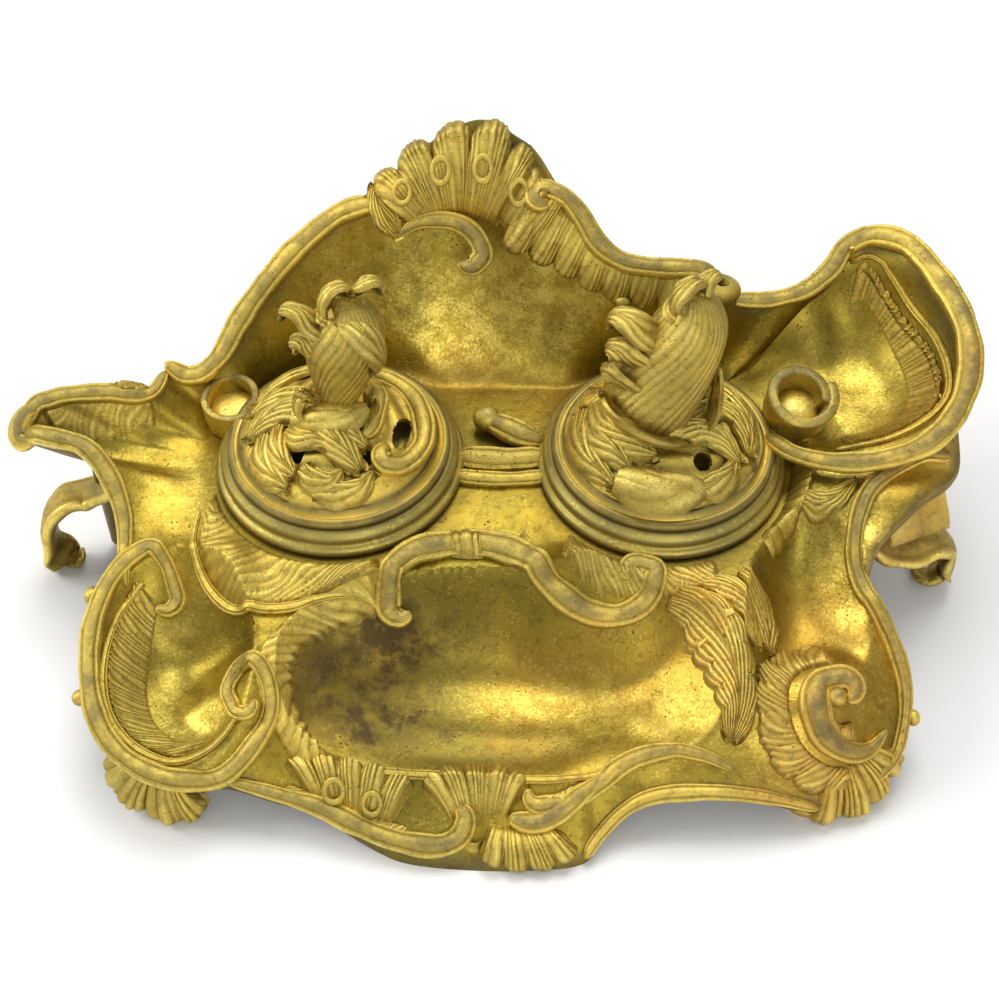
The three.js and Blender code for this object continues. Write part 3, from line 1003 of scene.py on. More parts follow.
@dataclass
class TrayForm:
    """The tray's upper surface, on which every ornament lies."""

    wells: tuple[Point2, ...]
    steps: int = 560
    settled: list[np.ndarray] = field(default_factory=list)

    def __post_init__(self) -> None:
        """Lays out the rim."""
        self.rim = smooth_path(RIM, self.steps, closed=True) / MM
        offset = self.rim[:, :2] - MIDDLE
        angle = np.arctan2(offset[:, 1], offset[:, 0])
        order = np.argsort(angle)
        self.angles = angle[order]
        self.radii = np.hypot(*offset[order].T)
        self.heights = self.rim[order, 2]

    def settle(self, *paths: np.ndarray) -> None:
        """Draws the surface to the heights of these paths, which are in metres."""
        for path in paths:
            count = max(int(np.linalg.norm(np.diff(path, axis=0), axis=1).sum() / DRAW_SPACING), 4)
            spots = even(path, count) / MM
            gap = spots[:, 2] - self.plain(spots[:, 0], spots[:, 1])
            self.settled.append(np.column_stack([spots[:, :2], np.clip(gap, -DRAW_LIMIT, DRAW_LIMIT)]))

    def plain(self, x: np.ndarray, y: np.ndarray) -> np.ndarray:
        """Finds the surface's height before it is drawn to any path.

        Args:
            x: In millimetres.
            y: In millimetres.

        Returns:
            The heights in millimetres.
        """
        dx, dy = x - MIDDLE[0], y - MIDDLE[1]
        angle = np.arctan2(dy, dx)
        radius = np.interp(angle, self.angles, self.radii, period=2 * math.pi)
        height = np.interp(angle, self.angles, self.heights, period=2 * math.pi)
        share = np.hypot(dx, dy) / radius
        rim_x, rim_y = radius * np.cos(angle), radius * np.sin(angle)
        return self.raised(x, y, rim_x, rim_y, height, share)

    def raised(self, x: np.ndarray, y: np.ndarray, rim_x: np.ndarray, rim_y: np.ndarray,
               rim_z: np.ndarray, share: np.ndarray) -> np.ndarray:
        """Finds the height of places from the rim points beyond them. Lengths are in millimetres.

        Args:
            x: The places.
            y: The places.
            rim_x: The rim points, from the tray's middle.
            rim_y: The rim points, from the tray's middle.
            rim_z: The rim points' heights.
            share: The share of the way to the rim at each place.

        Returns:
            The heights.
        """
        land = (np.abs(rim_x / LAND_HALF[0]) ** 4 + np.abs(rim_y / LAND_HALF[1]) ** 4) ** -0.25
        land = np.minimum(land, LAND_SHARE)
        climb = np.clip((share - land) / (1 - land), 0, 1.15)
        z = PLATFORM_Z + (rim_z - PLATFORM_Z) * climb ** RISE
        for dish in DISHES:
            reach = dish.reach(x, y)
            sunk = dish.floor + (z - dish.floor) * np.minimum(reach, 1) ** dish.flat
            z = np.where((reach < 1) & (z > dish.floor), sunk, z)
        level = self.near_well(x, y) * (1 - smooth_step(0.84, 0.96, share))
        return z + (PLATFORM_Z - z) * level

    def near_well(self, x: np.ndarray, y: np.ndarray) -> np.ndarray:
        """1 on the level land round a well and 0 away from it."""
        reach = np.min([np.hypot(x - well[0], y - well[1]) for well in self.wells], axis=0)
        return 1 - smooth_step(LAND_EDGE, LAND_EDGE + LAND_BLEND, reach)

    def drawn(self, x: np.ndarray, y: np.ndarray, z: np.ndarray) -> np.ndarray:
        """Draws heights to the settled paths. Lengths are in millimetres.

        Args:
            x: The places.
            y: The places.
            z: The heights there.

        Returns:
            The new heights.
        """
        if not self.settled:
            return z
        total, weight = np.zeros(x.shape), np.full(x.shape, DRAW_LEAST)
        for spot_x, spot_y, gap in np.vstack(self.settled):
            pull = np.exp(-((x - spot_x) ** 2 + (y - spot_y) ** 2) / DRAW_WIDTH)
            total, weight = total + pull * gap, weight + pull
        return z + total / weight * (1 - self.near_well(x, y))

    def height(self, x: np.ndarray, y: np.ndarray) -> np.ndarray:
        """The finished surface's height, all in metres."""
        x, y = np.asarray(x) / MM, np.asarray(y) / MM
        return self.drawn(x, y, self.plain(x, y)) * MM

    def lay(self, path: np.ndarray, lift: float) -> np.ndarray:
        """Moves a path onto the surface.

        Args:
            path: In metres.
            lift: How far it then stands above the surface, in millimetres.

        Returns:
            The new path.
        """
        laid = path.copy()
        laid[:, 2] = self.height(path[:, 0], path[:, 1]) + lift * MM
        return laid


@dataclass
class TrayBody:
    """The cast shell: the upper surface, the rim's rounded edge, the underside and the apron."""

    form: TrayForm
    finish: bpy.types.Material

    def ring(self, share: np.ndarray | float, drop: float = 0.0, lowest: float = 0.0) -> np.ndarray:
        """Makes one ring of the tray.

        Args:
            share: The share of the way to the rim.
            drop: How far the ring lies below the surface.
            lowest: The height it doesn't go below.

        Returns:
            The ring's points in millimetres.
        """
        offset = self.form.rim[:, :2] - MIDDLE
        share = np.broadcast_to(share, len(offset))
        x, y = MIDDLE[0] + share * offset[:, 0], MIDDLE[1] + share * offset[:, 1]
        z = self.form.raised(x, y, offset[:, 0], offset[:, 1], self.form.rim[:, 2], share)
        z = self.form.drawn(x, y, z)
        return np.column_stack([x, y, np.maximum(z - drop, lowest)])

    def apron_share(self) -> np.ndarray:
        """Finds where the apron hangs, clear of the wells.

        Returns:
            The share of the way to each rim point.
        """
        offset = self.form.rim[:, :2] - MIDDLE
        share = np.full(len(offset), APRON_SHARE)
        for _ in range(9):
            x, y = MIDDLE[0] + share * offset[:, 0], MIDDLE[1] + share * offset[:, 1]
            reach = np.min([np.hypot(x - well[0], y - well[1]) for well in self.form.wells], axis=0)
            close = (reach < APRON_TO_WELL) & (share < APRON_LIMIT)
            share = np.where(close, share + APRON_STEP, share)
        kernel = np.ones(APRON_SMOOTHING) / APRON_SMOOTHING
        lap = APRON_SMOOTHING // 2
        return np.convolve(np.concatenate([share[-lap:], share, share[:lap]]), kernel, mode="valid")

    def build(self) -> list[bpy.types.Object]:
        """Builds the body.

        Returns:
            The body, with a hole for each collar.
        """
        span = np.hypot(*(self.form.rim[:, :2] - MIDDLE).T)
        apron = self.apron_share()
        inside = apron - WALL / span
        top = [self.ring(share) for share in np.linspace(0.02, 0.985, 84)]
        edge = [self.ring(1 - 0.4 / span), self.ring(1.0, 0.6), self.ring(1 + 0.5 / span, 2.0)]
        edge += [self.ring(1.0, WALL), self.ring((1 + apron) / 2, WALL, 1)]
        foot = self.ring(apron)
        foot[:, 2] = APRON_FOOT_Z
        back = self.ring(inside)
        back[:, 2] = APRON_FOOT_Z
        skirt = [self.ring(apron, WALL, APRON_FOOT_Z + 0.5), foot, back,
                 self.ring(inside, WALL, APRON_FOOT_Z + 0.5)]
        under = [self.ring(share, WALL) for share in np.linspace(0.82, 0.05, 26)]
        rings = np.stack(top + edge + skirt + under) * MM
        obj = closed_tube("tray_body", rings, {})
        self.bore(obj)
        self.mark(obj)
        obj.data.materials.append(self.finish)
        return [obj]

    def bore(self, obj: bpy.types.Object) -> None:
        """Cuts the collars' holes through the body."""
        deselect()
        cutters = []
        for x, y in self.form.wells:
            bpy.ops.mesh.primitive_cylinder_add(vertices=96, radius=HOLE_RADIUS * MM, depth=CUTTER_DEPTH * MM,
                                                location=(x * MM, y * MM, (PLATFORM_Z - CUTTER_DROP) * MM))
            cutters.append(named("cutter"))
        for cutter in cutters:
            cutter.select_set(True)
        bpy.ops.object.join()
        cutter = bpy.context.active_object
        apply_modifier(obj, "BOOLEAN", object=cutter, operation="DIFFERENCE", solver="FAST")
        bpy.data.objects.remove(cutter)

    def mark(self, obj: bpy.types.Object) -> None:
        """Stores where the gilding is worn, polished with a painted highlight, darkened by painted shade round the
        wells and below the upper surface, or stained.
        """
        at = positions(obj) / MM
        x, y, z = at.T
        angle = np.arctan2(y - MIDDLE[1], x - MIDDLE[0])
        radius = np.interp(angle, self.form.angles, self.form.radii, period=2 * math.pi)
        share = np.hypot(x - MIDDLE[0], y - MIDDLE[1]) / radius
        above = smooth_step(-3, -1, z - self.form.height(x * MM, y * MM) / MM)
        carry(obj, "worn", smooth_step(0.965, 0.99, share) * 0.8)
        # Polished patches, on the upper surface only, that also paint a highlight.
        burnish_and_highlight = sum(amount * np.exp(-((x - bx) / rx) ** 2 - ((y - by) / ry) ** 2)
                      for bx, by, rx, ry, amount in POLISH_AND_HIGHLIGHT_PATCHES)
        carry(obj, "burnish_and_highlight", burnish_and_highlight * above)
        stain = sum(amount * np.exp(-(((x - sx) / rx) ** 2 + ((y - sy) / ry) ** 2) ** 2)
                    for sx, sy, rx, ry, amount in STAINED)
        carry(obj, "stain", stain * above)
        # Painted shade on the land round each well and on everything below the upper surface.
        well_shade = np.zeros(len(at))
        for well in self.form.wells:
            reach = np.hypot(x - well[0], y - well[1])
            well_shade = np.maximum(well_shade, smooth_step(46, 38, reach))
        carry(obj, "relief", (1 - well_shade * 0.75) * (0.35 + 0.65 * above))


# Where the gilding is polished smooth with a painted highlight, and where ink has stained it: middle, half sizes
# and amount.
POLISH_AND_HIGHLIGHT_PATCHES = (
    (20, -52, 34, 13, 0.75), (48, -62, 18, 12, 0.6), (10, 70, 36, 14, 0.75), (-30, 66, 28, 12, 0.5),
    (104, 20, 22, 26, 0.6), (110, -22, 9, 26, 0.9), (-90, -62, 14, 16, 0.7), (-97, -30, 10, 14, 0.5),
    (118, 48, 18, 16, 0.6), (-98, 12, 16, 16, 0.45), (84, -62, 14, 14, 0.6), (-52, 70, 16, 10, 0.4),
)
STAINED = (
    (-36, -48, 27, 21, 0.8), (-8, -64, 32, 9, 0.4), (-20, -28, 24, 8, 0.5), (72, -20, 12, 16, 0.3),
)


# ---- Wells ----

# Outlines and worn edges are given as radius and height, in millimetres.
TURNED_SIDES = 160
RING_WORN = ((38.6, 43.5), (37.0, 47.6), (34.6, 50.2))
PLATE_WORN = ((34.4, 51.6), (33.6, 52.9), (30.4, 54.6))
BORDER_WORN = ((30.2, 53.6),)
DOME_Z, DOME_RISE, DOME_RADIUS = 53.6, 12.4, 30.0
GROUND_RADII = (9.5, 28.5)
GROUND_WALL = 1.6
RING_OUTLINE = (
    (30.4, 30), (32.5, 30), (32.5, 42.3), (38.0, 42.3), (38.6, 42.9), (38.6, 44.2), (38.3, 44.9), (37.5, 45.3),
    (37.0, 45.5), (36.7, 46.0), (36.7, 46.6), (37.0, 47.1), (36.9, 48.1), (36.4, 48.9), (35.6, 49.4), (35.2, 50.0),
    (34.6, 50.2), (33.6, 50.0), (32.8, 49.4), (32.7, 47.7), (30.4, 47.7),
)
PLATE_OUTLINE = (
    (2.3, 50.4), (23, 50.3), (23.4, 47.3), (26, 47.3), (26.4, 50.3), (33.4, 50.3), (34.2, 50.7), (34.5, 51.4),
    (34.3, 52.3), (33.6, 52.9), (32.6, 53.0), (32.2, 52.6), (31.7, 52.5), (31.3, 52.9), (31.0, 54.0), (30.4, 54.6),
    (29.6, 54.5), (29.2, 53.8), (28.4, 53.2), (20, 52.9), (2.3, 52.9),
)
ROOT_OUTLINE = ((2.3, 59.6), (11, 59.2), (12.5, 61.0), (11.5, 64.0), (8.5, 66.6), (2.3, 66.7))
BORDER_OUTLINE = (
    (23.0, 56.2), (27.6, 53.5), (29.6, 53.2), (29.9, 54.0), (28.6, 55.9), (26.6, 57.3), (23.0, 58.8),
)


@dataclass
class Collar:
    """The turned ring that holds a pot, on the platform."""

    side: str
    center: Point2
    finish: bpy.types.Material

    def build(self) -> list[bpy.types.Object]:
        """The ring."""
        obj = turned(f"{self.side}_collar_ring", self.center, RING_OUTLINE, TURNED_SIDES, RING_WORN)
        obj.data.materials.append(self.finish)
        return [obj]


POT_OUTLINE = (
    (POLE, 14), (26.6, 14), (28.0, 14.6), (29.2, 16.2), (29.8, 18.2), (29.8, 47.6), (30.2, 48), (31.8, 48),
    (32.3, 48.5), (32.3, 49.5), (31.8, 50), (27.6, 50), (27.0, 49.5), (27.0, 19.2), (26.4, 17.8), (25, 17),
    (POLE, 17),
)


@dataclass
class InkPot:
    """The glazed pot that hangs by its flange in the collar."""

    side: str
    center: Point2
    finish: bpy.types.Material

    def build(self) -> list[bpy.types.Object]:
        """The pot."""
        obj = turned(f"{self.side}_glazed_pot", self.center, POT_OUTLINE, 128)
        obj.data.materials.append(self.finish)
        return [obj]


def dome(radius: np.ndarray | float) -> np.ndarray | float:
    """The height in millimetres of a lid's dome at a distance from its axis."""
    return DOME_Z + DOME_RISE * np.clip(1 - (np.asarray(radius) / DOME_RADIUS) ** 2, 0, 1) ** 0.9


@dataclass(frozen=True)
class LidLeaf:
    """A leaf of a lid's openwork: radius and angle of each spine point, width, veins and lift."""

    spine: tuple[Point2, ...]
    width: float
    veins: int = 3
    lift: float = 0.4


@dataclass
class Lid:
    """A lift-off lid: a turned plate below an openwork dome of leaves and scrolls.

    Each scroll is the radius and angle of its points with its width, and each hole is its middle's radius and
    angle with its half sizes across and along the radius.
    """

    side: str
    center: Point2
    plate: bpy.types.Material
    relief: bpy.types.Material
    leaves: tuple[LidLeaf, ...]
    scrolls: tuple[tuple[tuple[Point2, ...], float], ...]
    holes: tuple[tuple[float, float, float, float], ...]

    def over(self, x: np.ndarray, y: np.ndarray) -> np.ndarray:
        """The dome's height, all in metres."""
        return dome(np.hypot(x - self.center[0], y - self.center[1]) / MM) * MM

    def spot(self, radius: float, angle: float, lift: float = 0.0) -> tuple[float, float, float]:
        """Finds a place on the dome.

        Args:
            radius: The distance from the axis, in millimetres.
            angle: In degrees.
            lift: The height above the dome, in millimetres.

        Returns:
            The place in millimetres.
        """
        turn = math.radians(angle)
        x = self.center[0] / MM + radius * math.cos(turn)
        y = self.center[1] / MM + radius * math.sin(turn)
        return (x, y, float(dome(radius)) + lift)

    def build_plate(self) -> list[bpy.types.Object]:
        """The turned plate."""
        obj = turned(f"{self.side}_lid_disc", self.center, PLATE_OUTLINE, TURNED_SIDES, PLATE_WORN)
        obj.data.materials.append(self.plate)
        return [obj]

    def ground(self) -> bpy.types.Object:
        """Builds the thin dome below the leaves.

        Returns:
            The dome, pierced by the holes.
        """
        turn = np.linspace(0, 2 * math.pi, 361)[:, None]
        radius = np.linspace(*GROUND_RADII, 48)[None, :]
        x = self.center[0] / MM + radius * np.cos(turn)
        y = self.center[1] / MM + radius * np.sin(turn)
        waves = np.sin(radius * 1.1 + 2.5 * np.sin(turn * 3)) * 0.35
        points = np.stack([x, y, dome(radius) + 0.3 + waves], axis=-1) * MM
        # Painted shade in the troughs of the waves.
        obj = grid(f"{self.side}_lid_ground", points, {"relief": 0.35 + 0.6 * smooth_step(-0.3, 0.3, waves)})
        edit_all()
        bpy.ops.mesh.remove_doubles(threshold=MERGE / 10)
        bpy.ops.mesh.select_mode(type="FACE")
        bpy.ops.mesh.select_all(action="DESELECT")
        bpy.ops.object.mode_set(mode="OBJECT")
        for face in obj.data.polygons:
            at = np.array(face.center)[:2] / MM
            for reach, angle, long, wide in self.holes:
                middle = np.array(self.spot(reach, angle))[:2]
                out = (middle - np.array(self.center) / MM) / reach
                gap = at - middle
                if ((gap @ out) / wide) ** 2 + ((gap[0] * out[1] - gap[1] * out[0]) / long) ** 2 < 1:
                    face.select = True
        bpy.ops.object.mode_set(mode="EDIT")
        bpy.ops.mesh.delete(type="FACE")
        bpy.ops.object.mode_set(mode="OBJECT")
        thicken(obj, GROUND_WALL, obj.data.polygons[0].normal.z)
        tidy_mesh()
        return obj

    def build_relief(self) -> list[bpy.types.Object]:
        """Builds the openwork.

        Returns:
            Its root, ground, border, leaves and scrolls.
        """
        made = [turned(f"{self.side}_lid_root", self.center, ROOT_OUTLINE, 64), self.ground(),
                turned(f"{self.side}_lid_border", self.center, BORDER_OUTLINE, 128, BORDER_WORN)]
        for number, leaf in enumerate(self.leaves):
            spine = smooth_path([self.spot(*place) for place in leaf.spine], 50)
            made.append(Leaf(f"{self.side}_lid_leaf_{number}", spine, leaf.width, bulge=2.6,
                             veins=leaf.veins, depth=0.65, lobes=2, drape=self.over, lift=leaf.lift,
                             thickness=2.4, root=0.62).build())
        for number, (places, width) in enumerate(self.scrolls):
            path = smooth_path([self.spot(*place, 1.8) for place in places], 60)
            made.append(Scroll(f"{self.side}_lid_scroll_{number}", path, width, width * 0.9, start=0.45,
                               end=0.85, worn=0.5).build())
        for obj in made:
            obj.data.materials.append(self.relief)
        return made


@dataclass
class Knop:
    """A leaning acanthus bud with curled tips.

    Each station is a section's height, radius and shift in x and y from the well's axis. Each leaf is its
    name, width, bulge and spine. Lengths are in millimetres.
    """

    side: str
    center: Point2
    finish: bpy.types.Material
    stations: tuple[tuple[float, float, float, float], ...]
    leaves: tuple[tuple[str, float, float, Path3], ...]
    ribs: int = 28
    twist: float = -3.6

    def bud(self) -> bpy.types.Object:
        """Builds the ribbed body.

        Returns:
            A closed body.
        """
        knots = np.array(self.stations, float)
        at = np.linspace(0, 1, 72)
        path = smooth_path([(z, radius, 0) for z, radius, _, _ in knots], 72) / MM
        height, radius = path[:, 0], np.maximum(path[:, 1], 0.3)
        kernel = np.ones(9) / 9
        shifts = (np.interp(height, knots[:, 0], knots[:, column]) for column in (2, 3))
        shift_x, shift_y = (np.convolve(np.pad(s, 4, mode="edge"), kernel, mode="valid") for s in shifts)
        turn = np.linspace(0, 2 * math.pi, 360, endpoint=False)[None, :]
        swirl = turn * self.ribs / 2 + (at[:, None] ** 1.2) * self.twist * math.pi * 2
        swirl = swirl + 0.9 * np.sin(turn * 3 + at[:, None] * 3) + 0.5 * np.sin(turn * 7 - at[:, None] * 9)
        rib = np.abs(np.sin(swirl)) ** 0.8 * (0.75 + 0.25 * np.sin(swirl / 2.7 + 5 * at[:, None]))
        rib = rib * 0.85 + 0.15 * np.abs(np.sin(swirl * 3))
        fold = np.sin(turn - at[:, None] * 4.4 + 0.6)
        fade = smooth_step(0, 0.15, at)[:, None] * smooth_step(1.0, 0.8, at)[:, None]
        reach = radius[:, None] + (rib * 0.4 + 1.6 * np.maximum(fold, 0) ** 3) * fade
        x = self.center[0] / MM + shift_x[:, None] + reach * np.cos(turn)
        y = self.center[1] / MM + shift_y[:, None] + reach * np.sin(turn)
        z = height[:, None] + 0.0 * turn
        rings = np.stack([x, y, z], axis=-1) * MM
        # Painted shade between the ribs and a painted highlight on them.
        fields = {"relief": 0.3 + 0.7 * rib, "worn": 0.3 * rib, "burnish_and_highlight": np.clip(rib - 0.4, 0, 1)}
        return closed_tube(f"{self.side}_knop_bud", rings, fields)

    def build(self) -> list[bpy.types.Object]:
        """Builds the knop.

        Returns:
            The bud and its leaves.
        """
        made = [self.bud()]
        base = np.array([self.center[0] / MM, self.center[1] / MM, 0.0])
        for name, width, bulge, spine in self.leaves:
            path = smooth_path(np.array(spine, float) + base, 60)
            core = path.mean(axis=0) - np.array([0.0, 0.0, 0.010])
            axis_point = np.array([self.center[0], self.center[1] + 0.003, 0.09])
            made.append(Leaf(f"{self.side}_knop_{name}", path, width, bulge=bulge, veins=2, depth=0.45,
                             lobes=1, thickness=2.8, root=0.8, center=0.3 * core + 0.7 * axis_point,
                             worn=0.45).build())
        for obj in made:
            obj.data.materials.append(self.finish)
        return made


# ---- Ornaments ----

Coil = tuple[float, float, float, int]  # turns, radius at the start, radius at the eye, side
SETTLE_DROP = 0.0015  # metres between a bar's path and the surface drawn to it
COIL_RISE = 1.5  # millimetres from a bar's end to its coil's eye
EYE_DEPTH = 0.0022  # metres
EYE_TILT = 50  # degrees
TOWARDS_FRONT = (0, -0.8, 0.6)  # the outer side of a relief on a wall that faces forward


@dataclass(frozen=True)
class Bar:
    """A scroll of the tray: its path and section in millimetres, and the coils at its ends."""

    name: str
    path: Path3
    width: float
    height: float
    lift: float | None = 1.2
    head: Coil | None = None
    tail: Coil | None = None
    start: float = 0.55
    end: float = 0.55
    worn: float = 0.8
    outline: Outline = Outline.BAND
    up: tuple[float, float, float] = tuple(UP)
    settle: bool = True


@dataclass(frozen=True)
class Fan:
    """A ribbed skin of the tray between two edges, in millimetres."""

    name: str
    inner: Path3
    outer: Path3
    ribs: float
    depth: float = 1.2
    bulge: float = 2.0
    scallop: float = 1.0
    skew: float = 0.0
    lobes: int = 0
    beads: float = 0.0
    lift: float = 0.0
    laid: bool = True
    thickness: float = 1.8
    worn: float = 0.35
    teeth: float = 0.5
    swell: float = 1.2
    up: tuple[float, float, float] = tuple(UP)


@dataclass(frozen=True)
class Frond:
    """A leaf of the tray along a spine, in millimetres."""

    name: str
    spine: Path3
    width: float
    veins: int = 5
    bulge: float = 2.2
    lobes: int = 4
    laid: bool = True
    root: float = 0.4
    lift: float = 0.4


def arc(middle: Point2, radius: float, start: float, end: float, height: float) -> Path3:
    """Seven points on a level arc, in millimetres and degrees."""
    turns = np.radians(np.linspace(start, end, 7))
    return [(middle[0] + radius * math.cos(t), middle[1] + radius * math.sin(t), height) for t in turns]


LEFT_WELL, RIGHT_WELL = (-48.0, 22.0), (52.0, 22.0)

